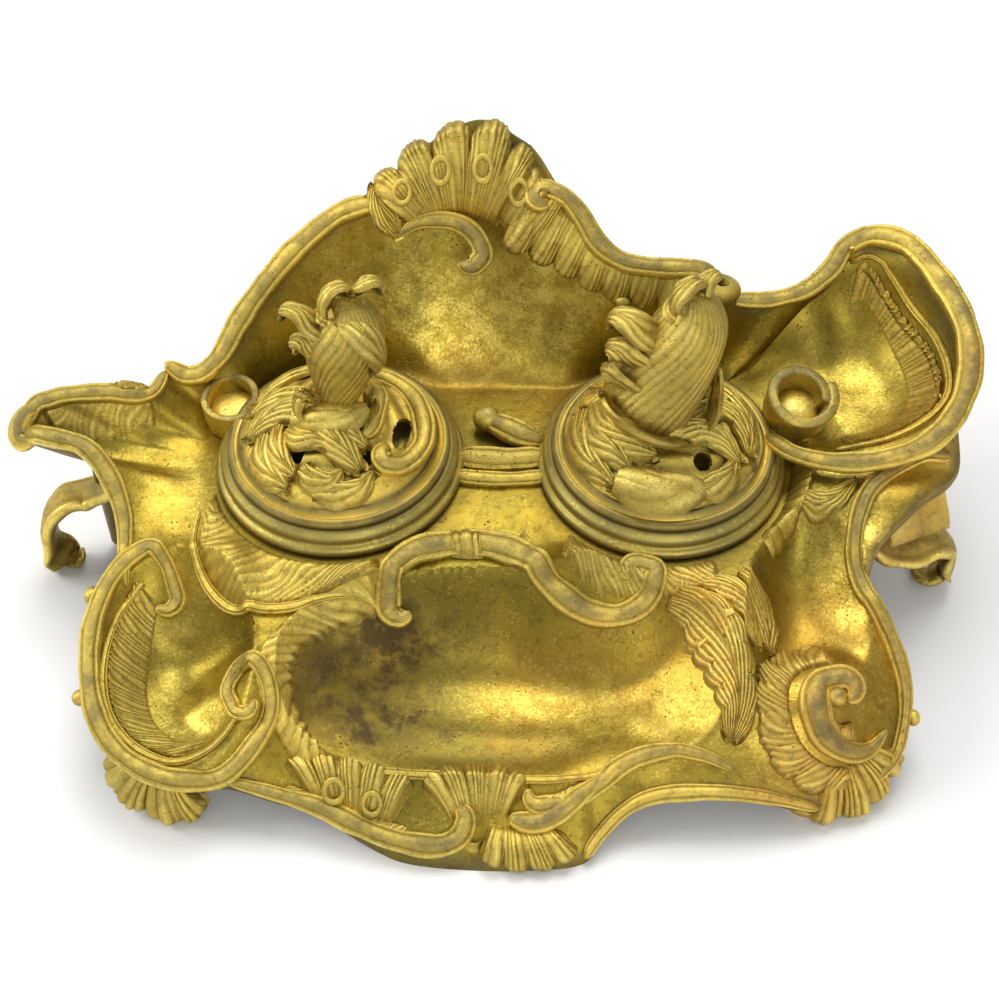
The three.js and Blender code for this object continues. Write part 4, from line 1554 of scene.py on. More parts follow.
BARS = (
    Bar("pen_border", ((-31.2, -27.3, 36), (-30.1, -21.3, 39), (-24.4, -14.5, 41), (-14.5, -11, 42),
        (-1, -10.9, 42), (8.1, -14.2, 41), (17, -22.4, 40), (28.8, -28.9, 39), (39.1, -30, 38),
        (46.7, -26.2, 38), (48.4, -20.6, 39), (44, -18.4, 40)), 9.0, 6.5, 1.6, head=(0.45, 4.5, 2.5, 1),
        tail=(0.5, 4.0, 2.0, 1), start=0.85, end=0.7),
    Bar("left_dish_rim", ((-94.8, -23.7, 38), (-98.3, -16.7, 41), (-103.1, -13.7, 42),
        (-108.8, -16.7, 41), (-114.8, -25, 37), (-118.1, -36.8, 33), (-117.6, -49, 30),
        (-114.8, -60.9, 27), (-108.8, -70.7, 24), (-98.7, -77.7, 22), (-87.1, -80.3, 21),
        (-75.9, -76.8, 22), (-67.9, -68.7, 24), (-63.7, -58.7, 27), (-67, -49.9, 31), (-73.4, -47.8, 33),
        (-77, -54.1, 34), (-74.3, -61, 33)), 6.5, 6.0, 1.4, head=(0.5, 4.5, 2.0, -1),
        tail=(0.6, 4.0, 1.5, 1), start=0.8, end=0.7),
    Bar("left_dish_line", ((-105, -21, 39), (-111.3, -30.9, 35), (-114, -42.6, 31), (-113.2, -54.6, 28),
        (-108.7, -64.6, 25), (-100.8, -71.7, 23), (-90.5, -75, 22), (-80.8, -71.6, 22), (-72, -62, 24)),
        2.8, 3.2, 0.8, worn=0.0, start=0.6, end=0.5),
    Bar("left_arm_lip", ((-144.4, 21, 56), (-136.9, 16.9, 58), (-126.9, 14.3, 60), (-120.9, 11, 57),
        (-115.7, 5.3, 52), (-111.8, -3.4, 46), (-110.5, -14.9, 41), (-109.5, -24, 38)), 6.5, 6.0, 1.0,
        start=0.9, end=0.5),
    Bar("left_arm_top", ((-144.5, 23, 57), (-140.7, 28.1, 62), (-133.5, 29.8, 63), (-118.9, 33.3, 62),
        (-107.4, 36.1, 58), (-103.7, 44.9, 60)), 6.0, 5.5, 0.8, start=0.9, end=0.7),
    Bar("left_arm_tip", ((-138, 28.5, 61), (-143.5, 26, 58.5), (-146, 22.5, 55), (-145, 18.8, 54),
        (-139, 17.5, 57)), 7.5, 7.5, None, start=0.6, end=0.6, outline=Outline.ROUND, worn=1.0,
        settle=False),
    Bar("back_rim", ((-103.9, 46.2, 60), (-96.2, 45.2, 58), (-88.2, 47.6, 61), (-80.7, 58.4, 68),
        (-72.8, 67, 75), (-61.7, 75.8, 84), (-49, 82.1, 91), (-36.2, 83.3, 97)), 7.5, 6.0, 0.8, start=0.8,
        end=0.9, worn=0.7),
    Bar("slope_band", ((16.1, 82.7, 101), (21.4, 81.4, 99), (26.1, 78.1, 95), (32.4, 71.5, 88),
        (40, 68, 84.5), (52, 67, 83), (63.8, 67.5, 82), (70, 66, 79)), 6.5, 6.0, None,
        head=(0.7, 4.0, 2.0, 1), start=0.9, end=0.9, worn=0.9),
    Bar("shell_rim", ((74, 69, 68), (87.7, 70, 67), (98.7, 71.6, 70), (107.7, 78.7, 73),
        (111.8, 83.8, 77), (119.3, 85, 81), (129.7, 80.7, 82), (138.8, 65.8, 80), (144.4, 48.9, 77),
        (144.6, 34.5, 72), (138.8, 20.5, 67), (129.6, 12.8, 62), (116.4, 10.2, 58), (101.7, 11, 56),
        (90.5, 16.7, 54), (83.9, 25.4, 52)), 8.0, 5.5, None, start=0.7, end=0.7, worn=0.9),
    Bar("shell_fillet", ((112.5, 80.5, 75), (119.3, 81.3, 77), (126.5, 75.3, 79), (133, 66, 78),
        (138.6, 53.5, 76), (140.6, 42, 71), (138.6, 31, 66), (131.3, 24, 60), (120, 20.3, 56),
        (105, 20.7, 53)), 2.8, 3.2, 0.6, worn=0.0, start=0.5, end=0.5, settle=False),
    Bar("right_arm_lip", ((138.9, 13.5, 52), (129.9, 13.8, 54), (121.7, 10.5, 54), (113.6, 4.2, 52),
        (109.2, -5.1, 48), (108.2, -14.5, 43), (110.8, -23.8, 38), (115.7, -31.1, 33), (120.1, -39.5, 27),
        (122.1, -48.6, 22), (121.2, -57.5, 17), (118, -66, 12), (111, -73, 9)), 5.6, 5.5, 0.9, start=1.0,
        end=0.6, worn=0.9),
    Bar("right_volute", ((116, -60, 19), (110, -66, 18), (103, -68, 19), (96.2, -65.6, 24),
        (93.2, -59.3, 30), (94.7, -53.3, 34), (99.9, -51.7, 35)), 9.0, 7.0, 1.6,
        tail=(0.55, 4.6, 2.4, -1), start=0.35, end=0.8, worn=1.0),
    Bar("front_right_edge", ((70.1, -74.4, 19), (60.2, -70.8, 20), (48.7, -69.9, 21), (37, -73.7, 20),
        (31.3, -77.5, 18), (22.7, -81.8, 14), (14.2, -82.7, 12)), 6.0, 5.0, 1.2, tail=(0.4, 3.5, 2.0, -1),
        start=0.5, end=0.9, worn=0.8),
    Bar("front_right_border", ((27, -94.4, 3), (31.6, -88, 5), (38.7, -82.6, 10), (47.1, -80.5, 15),
        (59.9, -79.9, 17), (71.4, -79.9, 16), (83.4, -80.1, 12), (95, -81, 9)), 5.0, 4.5, 0.8, worn=0.25,
        start=0.7, end=0.6),
    Bar("front_left_border", ((-76.8, -77.7, 16), (-63.7, -79.9, 14), (-49.3, -82.8, 11),
        (-37.5, -87.5, 8), (-25.9, -91, 6), (-14.5, -92, 5.5), (-8.5, -89.5, 7), (-7.2, -85.5, 9.5),
        (-9.5, -82.5, 11.5)), 6.5, 6.0, 1.2, start=0.5, end=1.1, worn=0.8),
    Bar("pen_front_edge", ((-60, -60, 22), (-53, -69, 19), (-42, -73.5, 17), (-26, -75, 16),
        (-8, -75.5, 15.5), (8, -76.5, 15.5), (24, -76.5, 17), (37, -73.5, 19.5)), 3.2, 3.4, 1.0,
        worn=0.1),
    Bar("front_mid_scroll", ((5, -86, 10), (12, -87, 9), (19, -85, 10), (26, -80.5, 14), (33, -75, 18)),
        7.0, 5.5, 2.2, start=0.9, end=0.4, worn=1.0),
    Bar("middle_bar", ((-13, 23.5, 42), (-6, 22.5, 42), (2.0, 22, 42), (10, 22.5, 42), (17.0, 23.5, 42)),
        8.0, 6.0, 1.4, start=1.0, end=1.0, worn=0.3, settle=False),
    Bar("middle_bar_front", ((-13, 15.5, 42), (-6, 14.5, 42), (2.0, 14, 42), (10, 14.5, 42),
        (17, 15.5, 42)), 5.0, 4.6, 1.2, start=1.0, end=1.0, worn=0.3, settle=False),
    Bar("middle_curl", ((17, 29, 44), (9, 30.5, 45.5), (3, 33, 46.5), (-4, 36.6, 47)), 8.0, 7.0, None,
        start=0.7, end=1.0, worn=0.8, settle=False),
    Bar("crest_scroll", ((-31.5, 74.9, 88), (-23.8, 79, 91), (-12.8, 79.1, 91), (-6.6, 76.5, 88),
        (-4, 71.7, 84), (-6.5, 69.2, 82)), 6.5, 6.0, None, tail=(0.35, 3.0, 2.2, -1), start=0.4, end=1.0,
        worn=1.0, settle=False, up=(0.0, -0.8, 0.6)),
    Bar("left_foot_scroll", ((-112, 12, 46), (-121, 17, 35), (-129, 19.8, 28.5), (-137, 18.5, 27),
        (-142.5, 16, 21), (-143.5, 13.2, 11), (-140.1, 12.6, 3.5)), 15, 5.6, None,
        tail=(0.4, 4.0, 2.8, 1), start=0.8, end=0.8, up=(-0.55, 0.15, 0.8), settle=False, worn=0.8),
    Bar("right_foot_scroll", ((112, 2, 36), (121, 1.5, 26), (130.2, 5.2, 21), (138.8, 9.8, 21),
        (145.4, 11.6, 15), (146.0, 9.1, 7), (142, 8.7, 3)), 15, 5.6, None, tail=(0.4, 4.0, 2.8, -1),
        start=0.8, end=0.8, up=(0.55, 0.15, 0.8), settle=False, worn=0.8),
    Bar("back_left_foot_scroll", ((-46, 78, 42), (-46, 84, 33), (-46, 86, 22), (-46, 82, 12),
        (-46, 81, 5)), 13, 5.6, None, tail=(0.4, 4.0, 2.6, 1), start=0.6, end=0.9, up=(0, 0.9, 0.4),
        settle=False, worn=0.6),
    Bar("back_right_foot_scroll", ((48, 66, 42), (48, 72, 33), (48, 74, 22), (48, 70, 12), (48, 69, 5)),
        13, 5.6, None, tail=(0.4, 4.0, 2.6, 1), start=0.6, end=0.9, up=(0, 0.9, 0.4), settle=False,
        worn=0.6),
    Bar("left_leaf_line", ((-90, 2.4, 44), (-90.3, -11.6, 42), (-84.9, -23.5, 39), (-74.4, -31.2, 37),
        (-60.2, -30.8, 36), (-46.5, -27.2, 38), (-34, -27, 38)), 3.6, 3.4, 0.8, worn=0.1, start=0.4,
        end=0.5),
)

FANS = (
    Fan("left_collar_fan", arc(LEFT_WELL, 40.0, 196, 292, 42.3), ((-88, 0.4, 44), (-88.3, -11.6, 42),
        (-82.9, -22.5, 39), (-73.4, -30.2, 37), (-60.2, -29.3, 36), (-45.5, -25.2, 38), (-33, -23, 39)),
        24, depth=0.9, bulge=1.6, scallop=1.5, skew=0.16, lift=0.2),
    Fan("right_collar_leaves", arc(RIGHT_WELL, 40.0, 222, 292, 42.3), ((20, -17, 41), (29, -24, 40),
        (38, -26, 40), (50, -27, 39), (60, -27, 38), (68, -25, 38)), 22, depth=0.9, bulge=1.4,
        scallop=1.2, skew=-0.18, lift=0.2),
    Fan("middle_leaves", arc((2, 0), 8.0, 200, 340, 42), ((-13, -7.5, 42), (-6, -8.5, 42), (2, -9.5, 42),
        (8, -11.5, 42), (14, -14, 41)), 7, bulge=1.0, depth=0.9),
    Fan("pen_left_teeth", ((-34, -21, 38), (-48, -26, 36), (-60, -33, 32), (-67.5, -44, 28),
        (-68, -56, 25), (-61, -68, 21), (-53, -76, 17)), ((-32.1, -28.6, 34), (-44.1, -32, 32),
        (-53.4, -37.3, 28), (-58.4, -45.1, 25), (-58.6, -53.7, 22), (-53.7, -63.5, 19),
        (-46.9, -71.6, 17)), 17, depth=1.0, bulge=1.2, scallop=3.4, skew=0.12, lift=0.3),
    Fan("left_dish_ribs", ((-100, -24, 36), (-101.5, -34, 31), (-102, -44, 27), (-100.5, -54, 24),
        (-96, -62, 21), (-88, -67, 20), (-80, -66, 20)), ((-107, -20, 38), (-111.3, -30.9, 35),
        (-113.6, -42.6, 31), (-112.4, -54.6, 28), (-107.7, -64.6, 25), (-99.8, -71.0, 23),
        (-89.5, -74, 22)), 38, depth=0.8, bulge=0.6, scallop=0.4, beads=0.8, skew=0.05),
    Fan("left_foot_fan", ((-101, -70, 20), (-99, -73.5, 19), (-95, -75, 18), (-91, -75.5, 17)),
        ((-113.6, -65.8, 13), (-110.5, -76, 6), (-99.2, -81.5, 2), (-88.6, -83, 1), (-81, -80, 8)), 12,
        depth=1.0, bulge=2.5, scallop=2.2, laid=False, thickness=2.4, up=TOWARDS_FRONT, lobes=4),
    Fan("right_foot_fan", ((112, -64, 17), (108, -67, 16), (103, -69, 16), (97, -69, 16)),
        ((122.5, -61, 9), (117.5, -70, 4), (110.9, -77.5, 1.5), (102.4, -80.3, 1.5), (93, -83, 3)), 14,
        depth=1.0, bulge=2.5, scallop=2.2, laid=False, thickness=2.4, up=TOWARDS_FRONT, lobes=4),
    Fan("right_volute_rocaille", ((101, -46.5, 34), (93, -47, 33), (87.5, -52, 30), (86.5, -60, 27),
        (90, -67, 23), (98, -71, 19), (106, -70.5, 17)), ((99, -34.5, 34), (87, -38, 32), (78, -47, 28),
        (76.5, -60, 23), (80, -71, 18), (92, -77.5, 12), (106, -76, 11)), 32, depth=0.9, bulge=1.6,
        scallop=1.8, lift=0.4, skew=0.08, lobes=8),
    Fan("right_volute_spiral", ((99, -55, 32), (96, -57.5, 31), (97, -61, 29), (101, -62, 27),
        (105, -60, 27)), ((103, -49, 33), (95, -51, 33), (92.5, -60, 29), (98, -66, 23),
        (107, -65.5, 20)), 9, depth=1.0, bulge=1.2, scallop=0.6, lift=0.8),
    Fan("shell_ribs", ((112, 73.5, 62), (118, 74.5, 64), (123, 69.5, 65), (127, 61, 64), (129.5, 52, 61),
        (130, 44, 57), (127.5, 38, 54), (122, 33.5, 51), (114, 31, 49), (106, 30.5, 48)), ((113, 79, 71),
        (119, 79.5, 74), (125.5, 73.5, 76), (131.5, 64.5, 75), (137, 53, 72), (139, 42, 68),
        (137, 32.5, 63), (130.5, 26, 58), (120, 22.5, 54), (108, 22.5, 51)), 46, depth=0.9, bulge=0.5,
        scallop=0.4, beads=1.0),
    Fan("crest_shell", ((-26, 78.5, 88.5), (-19, 80.0, 90.5), (-12, 81.0, 92), (-5, 80.0, 91),
        (0, 78.5, 90)), ((-38.3, 84.5, 95), (-38.3, 88.1, 100), (-31.6, 92.9, 106), (-20.6, 96.4, 112.5),
        (-6.6, 97.4, 117), (3.7, 94.9, 116), (10.9, 90.6, 111), (12.4, 84.8, 105)), 32, depth=0.45,
        bulge=4.2, scallop=5.5, lobes=5, skew=0.05, teeth=0.12, swell=2.4, laid=False, thickness=2.6,
        up=TOWARDS_FRONT, worn=0.3, beads=0.9),
    Fan("crest_right_leaf", ((-1, 80, 92), (4, 77, 89), (8, 75, 86), (12, 75, 84)), ((11, 89, 108),
        (15, 85, 104), (19, 83, 101), (22, 81, 98)), 11, depth=0.45, teeth=0.12, swell=1.6, lobes=2,
        bulge=2.2, scallop=1.5, laid=False, thickness=2.4, up=TOWARDS_FRONT),
    Fan("back_frieze", ((9, 84, 103), (18, 81, 98), (26.1, 77.1, 94), (32.4, 70.8, 88), (38.7, 67, 84.5),
        (52, 66, 83), (68.8, 65.5, 80)), ((1.3, 72.9, 85), (10.8, 73, 80), (23.5, 69.1, 75.5),
        (33, 66.1, 72), (45.7, 63.6, 70), (56, 63, 69), (68, 63.5, 69)), 40, depth=0.5, teeth=0.15,
        swell=1.8, bulge=1.8, scallop=3.0, lobes=8, laid=False, thickness=2.4, up=TOWARDS_FRONT,
        skew=0.03),
    Fan("front_left_shell", ((-52, -80.5, 13.5), (-44, -83, 11.5), (-36, -85.5, 10), (-29, -88, 8.5)),
        ((-61, -72, 19), (-52, -70, 19.5), (-41, -71, 18.5), (-30, -73, 17.5), (-21, -76.5, 16)), 22,
        depth=0.6, teeth=0.15, swell=1.4, bulge=2.6, scallop=2.4, lobes=5, lift=0.8),
    Fan("front_middle_shell", ((-12, -86, 9.5), (-7, -84.5, 10.5), (-1, -84, 10.5), (5, -85, 10)),
        ((-21, -78.5, 14.5), (-16, -72.5, 17), (-6, -70.5, 18), (5, -71.5, 18), (12, -77.5, 15.5)), 18,
        depth=0.6, teeth=0.15, swell=1.4, bulge=2.6, scallop=2.4, lobes=5, lift=1.0),
    Fan("front_left_skirt", ((-58, -77, 15.5), (-46, -80.5, 13), (-34, -84.5, 10.5), (-22, -87.5, 8)),
        ((-62, -79.5, 14), (-48.5, -83, 11.5), (-36.5, -88.5, 8), (-24, -92.5, 5)), 30, depth=0.6,
        bulge=1.2, scallop=0.4, skew=0.08),
    Fan("front_fan_lower", ((0, -87, 9.5), (5, -87.5, 9), (11, -87.5, 9), (17, -87, 9.5)),
        ((-4, -95.5, 4), (3, -98, 2.5), (11, -98.5, 2), (20, -97, 2.5), (26.5, -93, 4.5)), 15, depth=0.6,
        teeth=0.15, swell=1.4, bulge=2.4, scallop=2.4, lobes=4, laid=False, thickness=2.4,
        up=TOWARDS_FRONT),
    Fan("front_right_leaf", ((8, -80, 13.5), (18, -79.5, 14), (28, -76, 17), (37, -72.5, 20)),
        ((10, -84, 10.5), (20, -84, 10.5), (30, -79.5, 15), (40, -75, 18.5)), 14, depth=0.7, bulge=1.4,
        scallop=0.6, skew=0.25, lift=0.4),
    Fan("right_collar_beads", arc(RIGHT_WELL, 40.2, 314, 372, 42.3),
        arc(RIGHT_WELL, 46.5, 314, 372, 42.3), 11, depth=1.4, bulge=1.4, scallop=1.2),
    Fan("left_arm_leaves", ((-106, 31, 55), (-114, 27, 58), (-124, 23, 60), (-134, 21, 60)),
        ((-107, 38, 58.5), (-119, 34.5, 61), (-131, 31, 62.5), (-141, 28, 61.5)), 13, depth=0.7,
        bulge=1.2, scallop=0.6, skew=0.45, lift=0.3),
    Fan("right_arm_face", ((112, 1, 50), (119, 7, 52), (128, 10.5, 52), (137, 10.5, 50)), ((121, -4, 32),
        (128, 0, 30), (136, 5, 28), (144, 9.5, 27)), 1.0, depth=0.2, bulge=3.0, scallop=0.0, laid=False,
        thickness=2.8, up=(0.5, -0.6, 0.4)),
    Fan("pen_border_tie", ((-12.5, -15, 42), (-8.0, -15.6, 42), (-3, -15.4, 42)), ((-13.5, -6.6, 42),
        (-8.5, -6.0, 42), (-3.5, -6.2, 42)), 5, depth=0.8, bulge=3.6, scallop=0.4, lift=1.2),
)

FRONDS = (
    Frond("pen_right_leaf", ((53.1, -27, 38), (59.4, -30.9, 37), (65.7, -38.7, 34), (69.9, -49, 31),
        (71.4, -59.2, 28), (69.3, -67.4, 24)), 17, veins=6, lobes=6, bulge=2.6),
    Frond("right_tuft_high", ((74, -20, 39), (79, -25, 37), (82, -32, 34), (82, -40, 31)), 10, veins=3),
    Frond("right_tuft_low", ((60, -24, 40), (68, -26, 38), (75, -32, 35), (78, -41, 31)), 10, veins=3),
    Frond("shell_front_leaf", ((92, 6, 48), (98, 2, 48), (104, 3, 50), (110, 8, 53)), 8, veins=3,
        bulge=1.4),
    Frond("crest_tie", ((-30, 76, 87), (-34, 79, 91), (-37, 83, 95), (-38, 87, 99)), 9, veins=4,
        laid=False),
)

ROLLS = (
    Roll("shell_horn", (94, 34.5, 57), (0.12, -0.25, 0.95), 9.4, 12, turns=1.12, eye=0.72, start=150,
        flare=0.18, thickness=3.4),
    Roll("left_ring_volute", (-83, 39.5, 48.5), (-0.05, -0.1, 0.99), 9.0, 11, turns=1.06, eye=0.86,
        start=200, thickness=2.2),
)

# The oval rings of the shells: middle, and width and height.
EYES = (
    ((-29.0, 80.3, 101.8), (5.0, 6.8)), ((-17.0, 82.3, 108.6), (5.2, 7.6)), ((-4.0, 82.3, 109.4), (5.2, 7.6)),
    ((7.0, 79.6, 102.6), (5.0, 7.4)), ((-45, -80.8, 16.2), (5.4, 6.8)), ((-34, -83.6, 14.0), (5.0, 6.4)),
)

BEADS = (
    Bead("middle_knob", (-2.5, 36.2, 47.0), (9, 8.5, 8.5), worn=1.0),
    Bead("volute_eye", (99.5, -57.5, 31.5), (6, 6, 6), worn=1.0),
    Bead("ring_volute_floor", (-83, 39.5, 46.5), (16, 16, 8), worn=0.0),
    Bead("horn_floor", (94, 34.5, 54.0), (15, 15, 9), worn=0.0),
    Bead("frieze_end", (69.5, 64.0, 76.5), (15, 10, 11.5), worn=0.9),
    Bead("frieze_end_ring", (66.5, 64.0, 76.5), (5, 12, 13), worn=0.2),
    Bead("left_nub_low", (-120, -56, 26), (5, 5, 5)),
    Bead("left_nub_high", (-120.5, -24, 33), (5, 6, 5)),
    Bead("right_nub", (124.5, -55, 17), (4, 5, 5)),
    Bead("frieze_boss", (40, 62.5, 72.5), (5, 3, 5)),
)

# The posts inside the feet: x, y, radius and top.
FOOT_POSTS = ((-5, -88, 5.5, 4.8), (-91, -73, 6, 18), (93, -73, 6.5, 10), (-46, 73, 8, 40), (48, 61, 8, 40))


@dataclass
class Ornaments:
    """Everything that lies on the tray."""

    form: TrayForm
    chased: bpy.types.Material

    def __post_init__(self) -> None:
        """Draws the tray's surface to the ornaments."""
        for bar in BARS:
            if bar.settle:
                spots = np.array(bar.path, float) * MM
                spots[:, 2] -= SETTLE_DROP
                self.form.settle(spots)

    def painted(self, pieces: list[bpy.types.Object]) -> list[bpy.types.Object]:
        """Gives pieces the chased finish and lifts whatever lies below the floor up to it.

        Args:
            pieces: The pieces.

        Returns:
            The same pieces.
        """
        for obj in pieces:
            at = positions(obj)
            at[:, 2] = np.maximum(at[:, 2], 0.0)
            obj.data.vertices.foreach_set("co", at.ravel())
            obj.data.materials.append(self.chased)
        return pieces

    def bars(self) -> list[bpy.types.Object]:
        """Builds the scrolls, lips and mouldings.

        Returns:
            The painted pieces.
        """
        made = []
        for bar in BARS:
            path = smooth_path(bar.path, 160)
            if bar.lift is not None:
                path = self.form.lay(path, bar.lift)
            if bar.tail:
                path = coiled(path, *bar.tail, rise=COIL_RISE)
            if bar.head:
                path = coiled(path[::-1], *bar.head, rise=COIL_RISE)[::-1]
            made.append(Scroll(bar.name, path, bar.width, bar.height, bar.outline, bar.start, bar.end,
                               np.array(bar.up), bar.worn).build())
        return self.painted(made)

    def fans(self) -> list[bpy.types.Object]:
        """Builds the shells, ruffles and ribbed leaves.

        Returns:
            The painted pieces.
        """
        made = []
        for fan in FANS:
            inner, outer = smooth_path(fan.inner, 120), smooth_path(fan.outer, 120)
            made.append(RibbedStrip(fan.name, inner, outer, fan.ribs, fan.depth, fan.bulge, fan.scallop,
                                    fan.skew, fan.lobes, lift=fan.lift, thickness=fan.thickness,
                                    beads=fan.beads, worn=fan.worn, teeth=fan.teeth, swell=fan.swell,
                                    up=np.array(fan.up),
                                    drape=self.form.height if fan.laid else None).build())
        return self.painted(made)

    def fronds(self) -> list[bpy.types.Object]:
        """Builds the single leaves.

        Returns:
            The painted pieces.
        """
        made = []
        for leaf in FRONDS:
            made.append(Leaf(leaf.name, smooth_path(leaf.spine, 80), leaf.width, leaf.bulge, leaf.veins,
                             lobes=leaf.lobes, root=leaf.root, lift=leaf.lift,
                             drape=self.form.height if leaf.laid else None).build())
        return self.painted(made)

    def rolls(self) -> list[bpy.types.Object]:
        """The rolled scroll ends."""
        return self.painted([roll.build() for roll in ROLLS])

    def eyes(self) -> list[bpy.types.Object]:
        """Builds the oval rings of the shells.

        Returns:
            The painted pieces.
        """
        made = []
        for number, (middle, size) in enumerate(EYES):
            deselect()
            bpy.ops.mesh.primitive_torus_add(major_segments=40, minor_segments=10, major_radius=1.0,
                                             minor_radius=0.3)
            obj = named(f"shell_eye_{number}")
            obj.scale = (size[0] / 2 * MM, size[1] / 2 * MM, EYE_DEPTH)
            obj.rotation_euler = (math.radians(EYE_TILT), 0, 0)
            obj.location = [value * MM for value in middle]
            bpy.ops.object.transform_apply(location=True, rotation=True, scale=True)
            bpy.ops.object.shade_smooth_by_angle(angle=math.radians(BOSS_CREASE))
            carry(obj, "relief", np.ones(len(obj.data.vertices)))
            carry(obj, "worn", np.full(len(obj.data.vertices), 0.3))
            made.append(obj)
        return self.painted(made)

    def beads(self) -> list[bpy.types.Object]:
        """The small bosses."""
        return self.painted([bead.build() for bead in BEADS])

    def posts(self) -> list[bpy.types.Object]:
        """Builds the posts of the feet, inside the scrolls.

        Returns:
            The painted pieces.
        """
        made = []
        for number, (x, y, radius, top) in enumerate(FOOT_POSTS):
            outline = ((POLE, 0), (radius - 0.8, 0), (radius, 0.8), (radius, 2.6), (radius * 0.8, 4.6),
                       (radius * 0.72, 7), (radius * 0.72, top), (POLE, top))
            made.append(turned(f"foot_{number}", (x * MM, y * MM), outline, 40))
        return self.painted(made)

    def makers(self) -> dict[str, Callable[[], list[bpy.types.Object]]]:
        """The makers of each group, by name."""
        return {"scrolls": self.bars, "shells": self.fans, "leaves": self.fronds, "rolls": self.rolls,
                "eyes": self.eyes, "beads": self.beads, "feet": self.posts}


# ---- Camera and lights ----

# Each light: name, place, the height on the middle axis it faces, size in metres and power in watts.
LIGHTS = (
    ("overhead", (0.10, 0.55, 1.25), 0.03, 0.7, 9.5),
    ("left_window", (-0.9, 0.1, 0.75), 0.05, 0.55, 6.0),
    ("front_fill", (0.35, -1.1, 0.8), 0.05, 0.6, 4.5),
)
WORLD_COLOR = (1.0, 0.99, 0.97, 1.0)
FLOOR_SIZE = 4.0


@dataclass
class Studio:
    """The floor, the soft lights and the camera.

    Lengths are in metres and angles in degrees; the lens and the sensor are in millimetres.
    """

    floor: bpy.types.Material
    target: tuple[float, float, float] = (0.00175, 0.0045, 0.045)
    distance: float = 0.52
    elevation: float = 50.15
    azimuth: float = 0.5
    lens: float = 61.33
    world: float = 0.52
    sensor: float = 36.0

    def build(self) -> None:
        """Adds everything that isn't part of the object."""
        deselect()
        bpy.ops.mesh.primitive_plane_add(size=FLOOR_SIZE, location=(0, 0, 0))
        floor = named("floor")
        floor.data.materials.append(self.floor)
        self.add_world()
        for name, place, height, size, power in LIGHTS:
            self.add_light(name, place, (0.0, 0.0, height), size, power)
        self.add_camera()

    def add_world(self) -> None:
        """A plain surrounding light."""
        world = bpy.data.worlds.new("studio")
        world.use_nodes = True
        background = world.node_tree.nodes["Background"]
        background.inputs["Color"].default_value = WORLD_COLOR
        background.inputs["Strength"].default_value = self.world
        bpy.context.scene.world = world
        bpy.context.scene.view_settings.view_transform = "Standard"

    def add_light(self, name: str, place: tuple[float, float, float], aim: tuple[float, float, float],
                  size: float, power: float) -> None:
        """Adds a square soft light.

        Args:
            name: The light's name.
            place: Where it stands.
            aim: The point it faces.
            size: Its side.
            power: In watts.
        """
        deselect()
        bpy.ops.object.light_add(type="AREA", location=place)
        light = bpy.context.active_object
        light.name = name
        light.data.size = size
        light.data.energy = power
        light.rotation_euler = (Vector(place) - Vector(aim)).to_track_quat("Z", "Y").to_euler()

    def add_camera(self) -> None:
        """The camera, which looks at the target."""
        rise, turn = math.radians(self.elevation), math.radians(self.azimuth)
        away = Vector((math.cos(rise) * math.sin(turn), -math.cos(rise) * math.cos(turn), math.sin(rise)))
        deselect()
        bpy.ops.object.camera_add(location=Vector(self.target) + away * self.distance)
        camera = bpy.context.active_object
        camera.rotation_euler = away.to_track_quat("Z", "Y").to_euler()
        camera.data.lens = self.lens
        camera.data.sensor_width = self.sensor
        camera.data.clip_start = 0.01
        bpy.context.scene.camera = camera


# ---- The whole ----

# The lids' leaves and scrolls are given as radius and angle from each lid's axis.
LEFT_LEAVES = (
    LidLeaf(((8, 170), (15, 174), (21, 181), (27.5, 190)), 14, 3, 1.2),
    LidLeaf(((12, 140), (18, 150), (23, 160), (27.5, 170)), 10, 2, 0.8),
    LidLeaf(((23, 196), (26, 212), (27, 226), (27.5, 241)), 9, 2, 1.0),
    LidLeaf(((18, 198), (21, 214), (23, 229), (24.5, 243)), 8, 2, 1.8),
    LidLeaf(((16, 210), (15.5, 228), (13.5, 246), (14.5, 263)), 8, 2, 2.2),
    LidLeaf(((10, 205), (9, 240), (12, 268), (18, 286), (22.5, 292)), 12, 3, 1.8),
    LidLeaf(((8, 240), (8, 280), (12, 300), (17, 306)), 8, 2, 1.2),
    LidLeaf(((12, 198), (7.5, 230), (6.5, 300), (9, 345)), 8, 2, 2.2),
    LidLeaf(((22, 246), (24, 256), (24.5, 268), (21.5, 279)), 8, 2, 1.6),
    LidLeaf(((26.5, 258), (27, 273), (26.5, 288), (23.5, 301)), 7.5, 2, 1.2),
    LidLeaf(((26, 100), (26.5, 120), (27, 140), (27.5, 160)), 10, 2, 1.0),
)
LEFT_SCROLLS = (
    (((14, 75), (22, 58), (25, 34), (26, 9), (27.2, 345), (26, 322), (22.5, 312), (20, 316), (21, 325)), 7.4),
    (((18, 60), (14.5, 30), (12.8, 0), (13.5, 328), (14, 309)), 6.0),
)
LEFT_HOLES = ((17.6, 149, 4.6, 2.6), (10.5, 53, 5.5, 3.2), (20.5, 347, 6.5, 2.4), (19, 233, 2.8, 2.8),
              (18.5, 303, 2.6, 2.4))
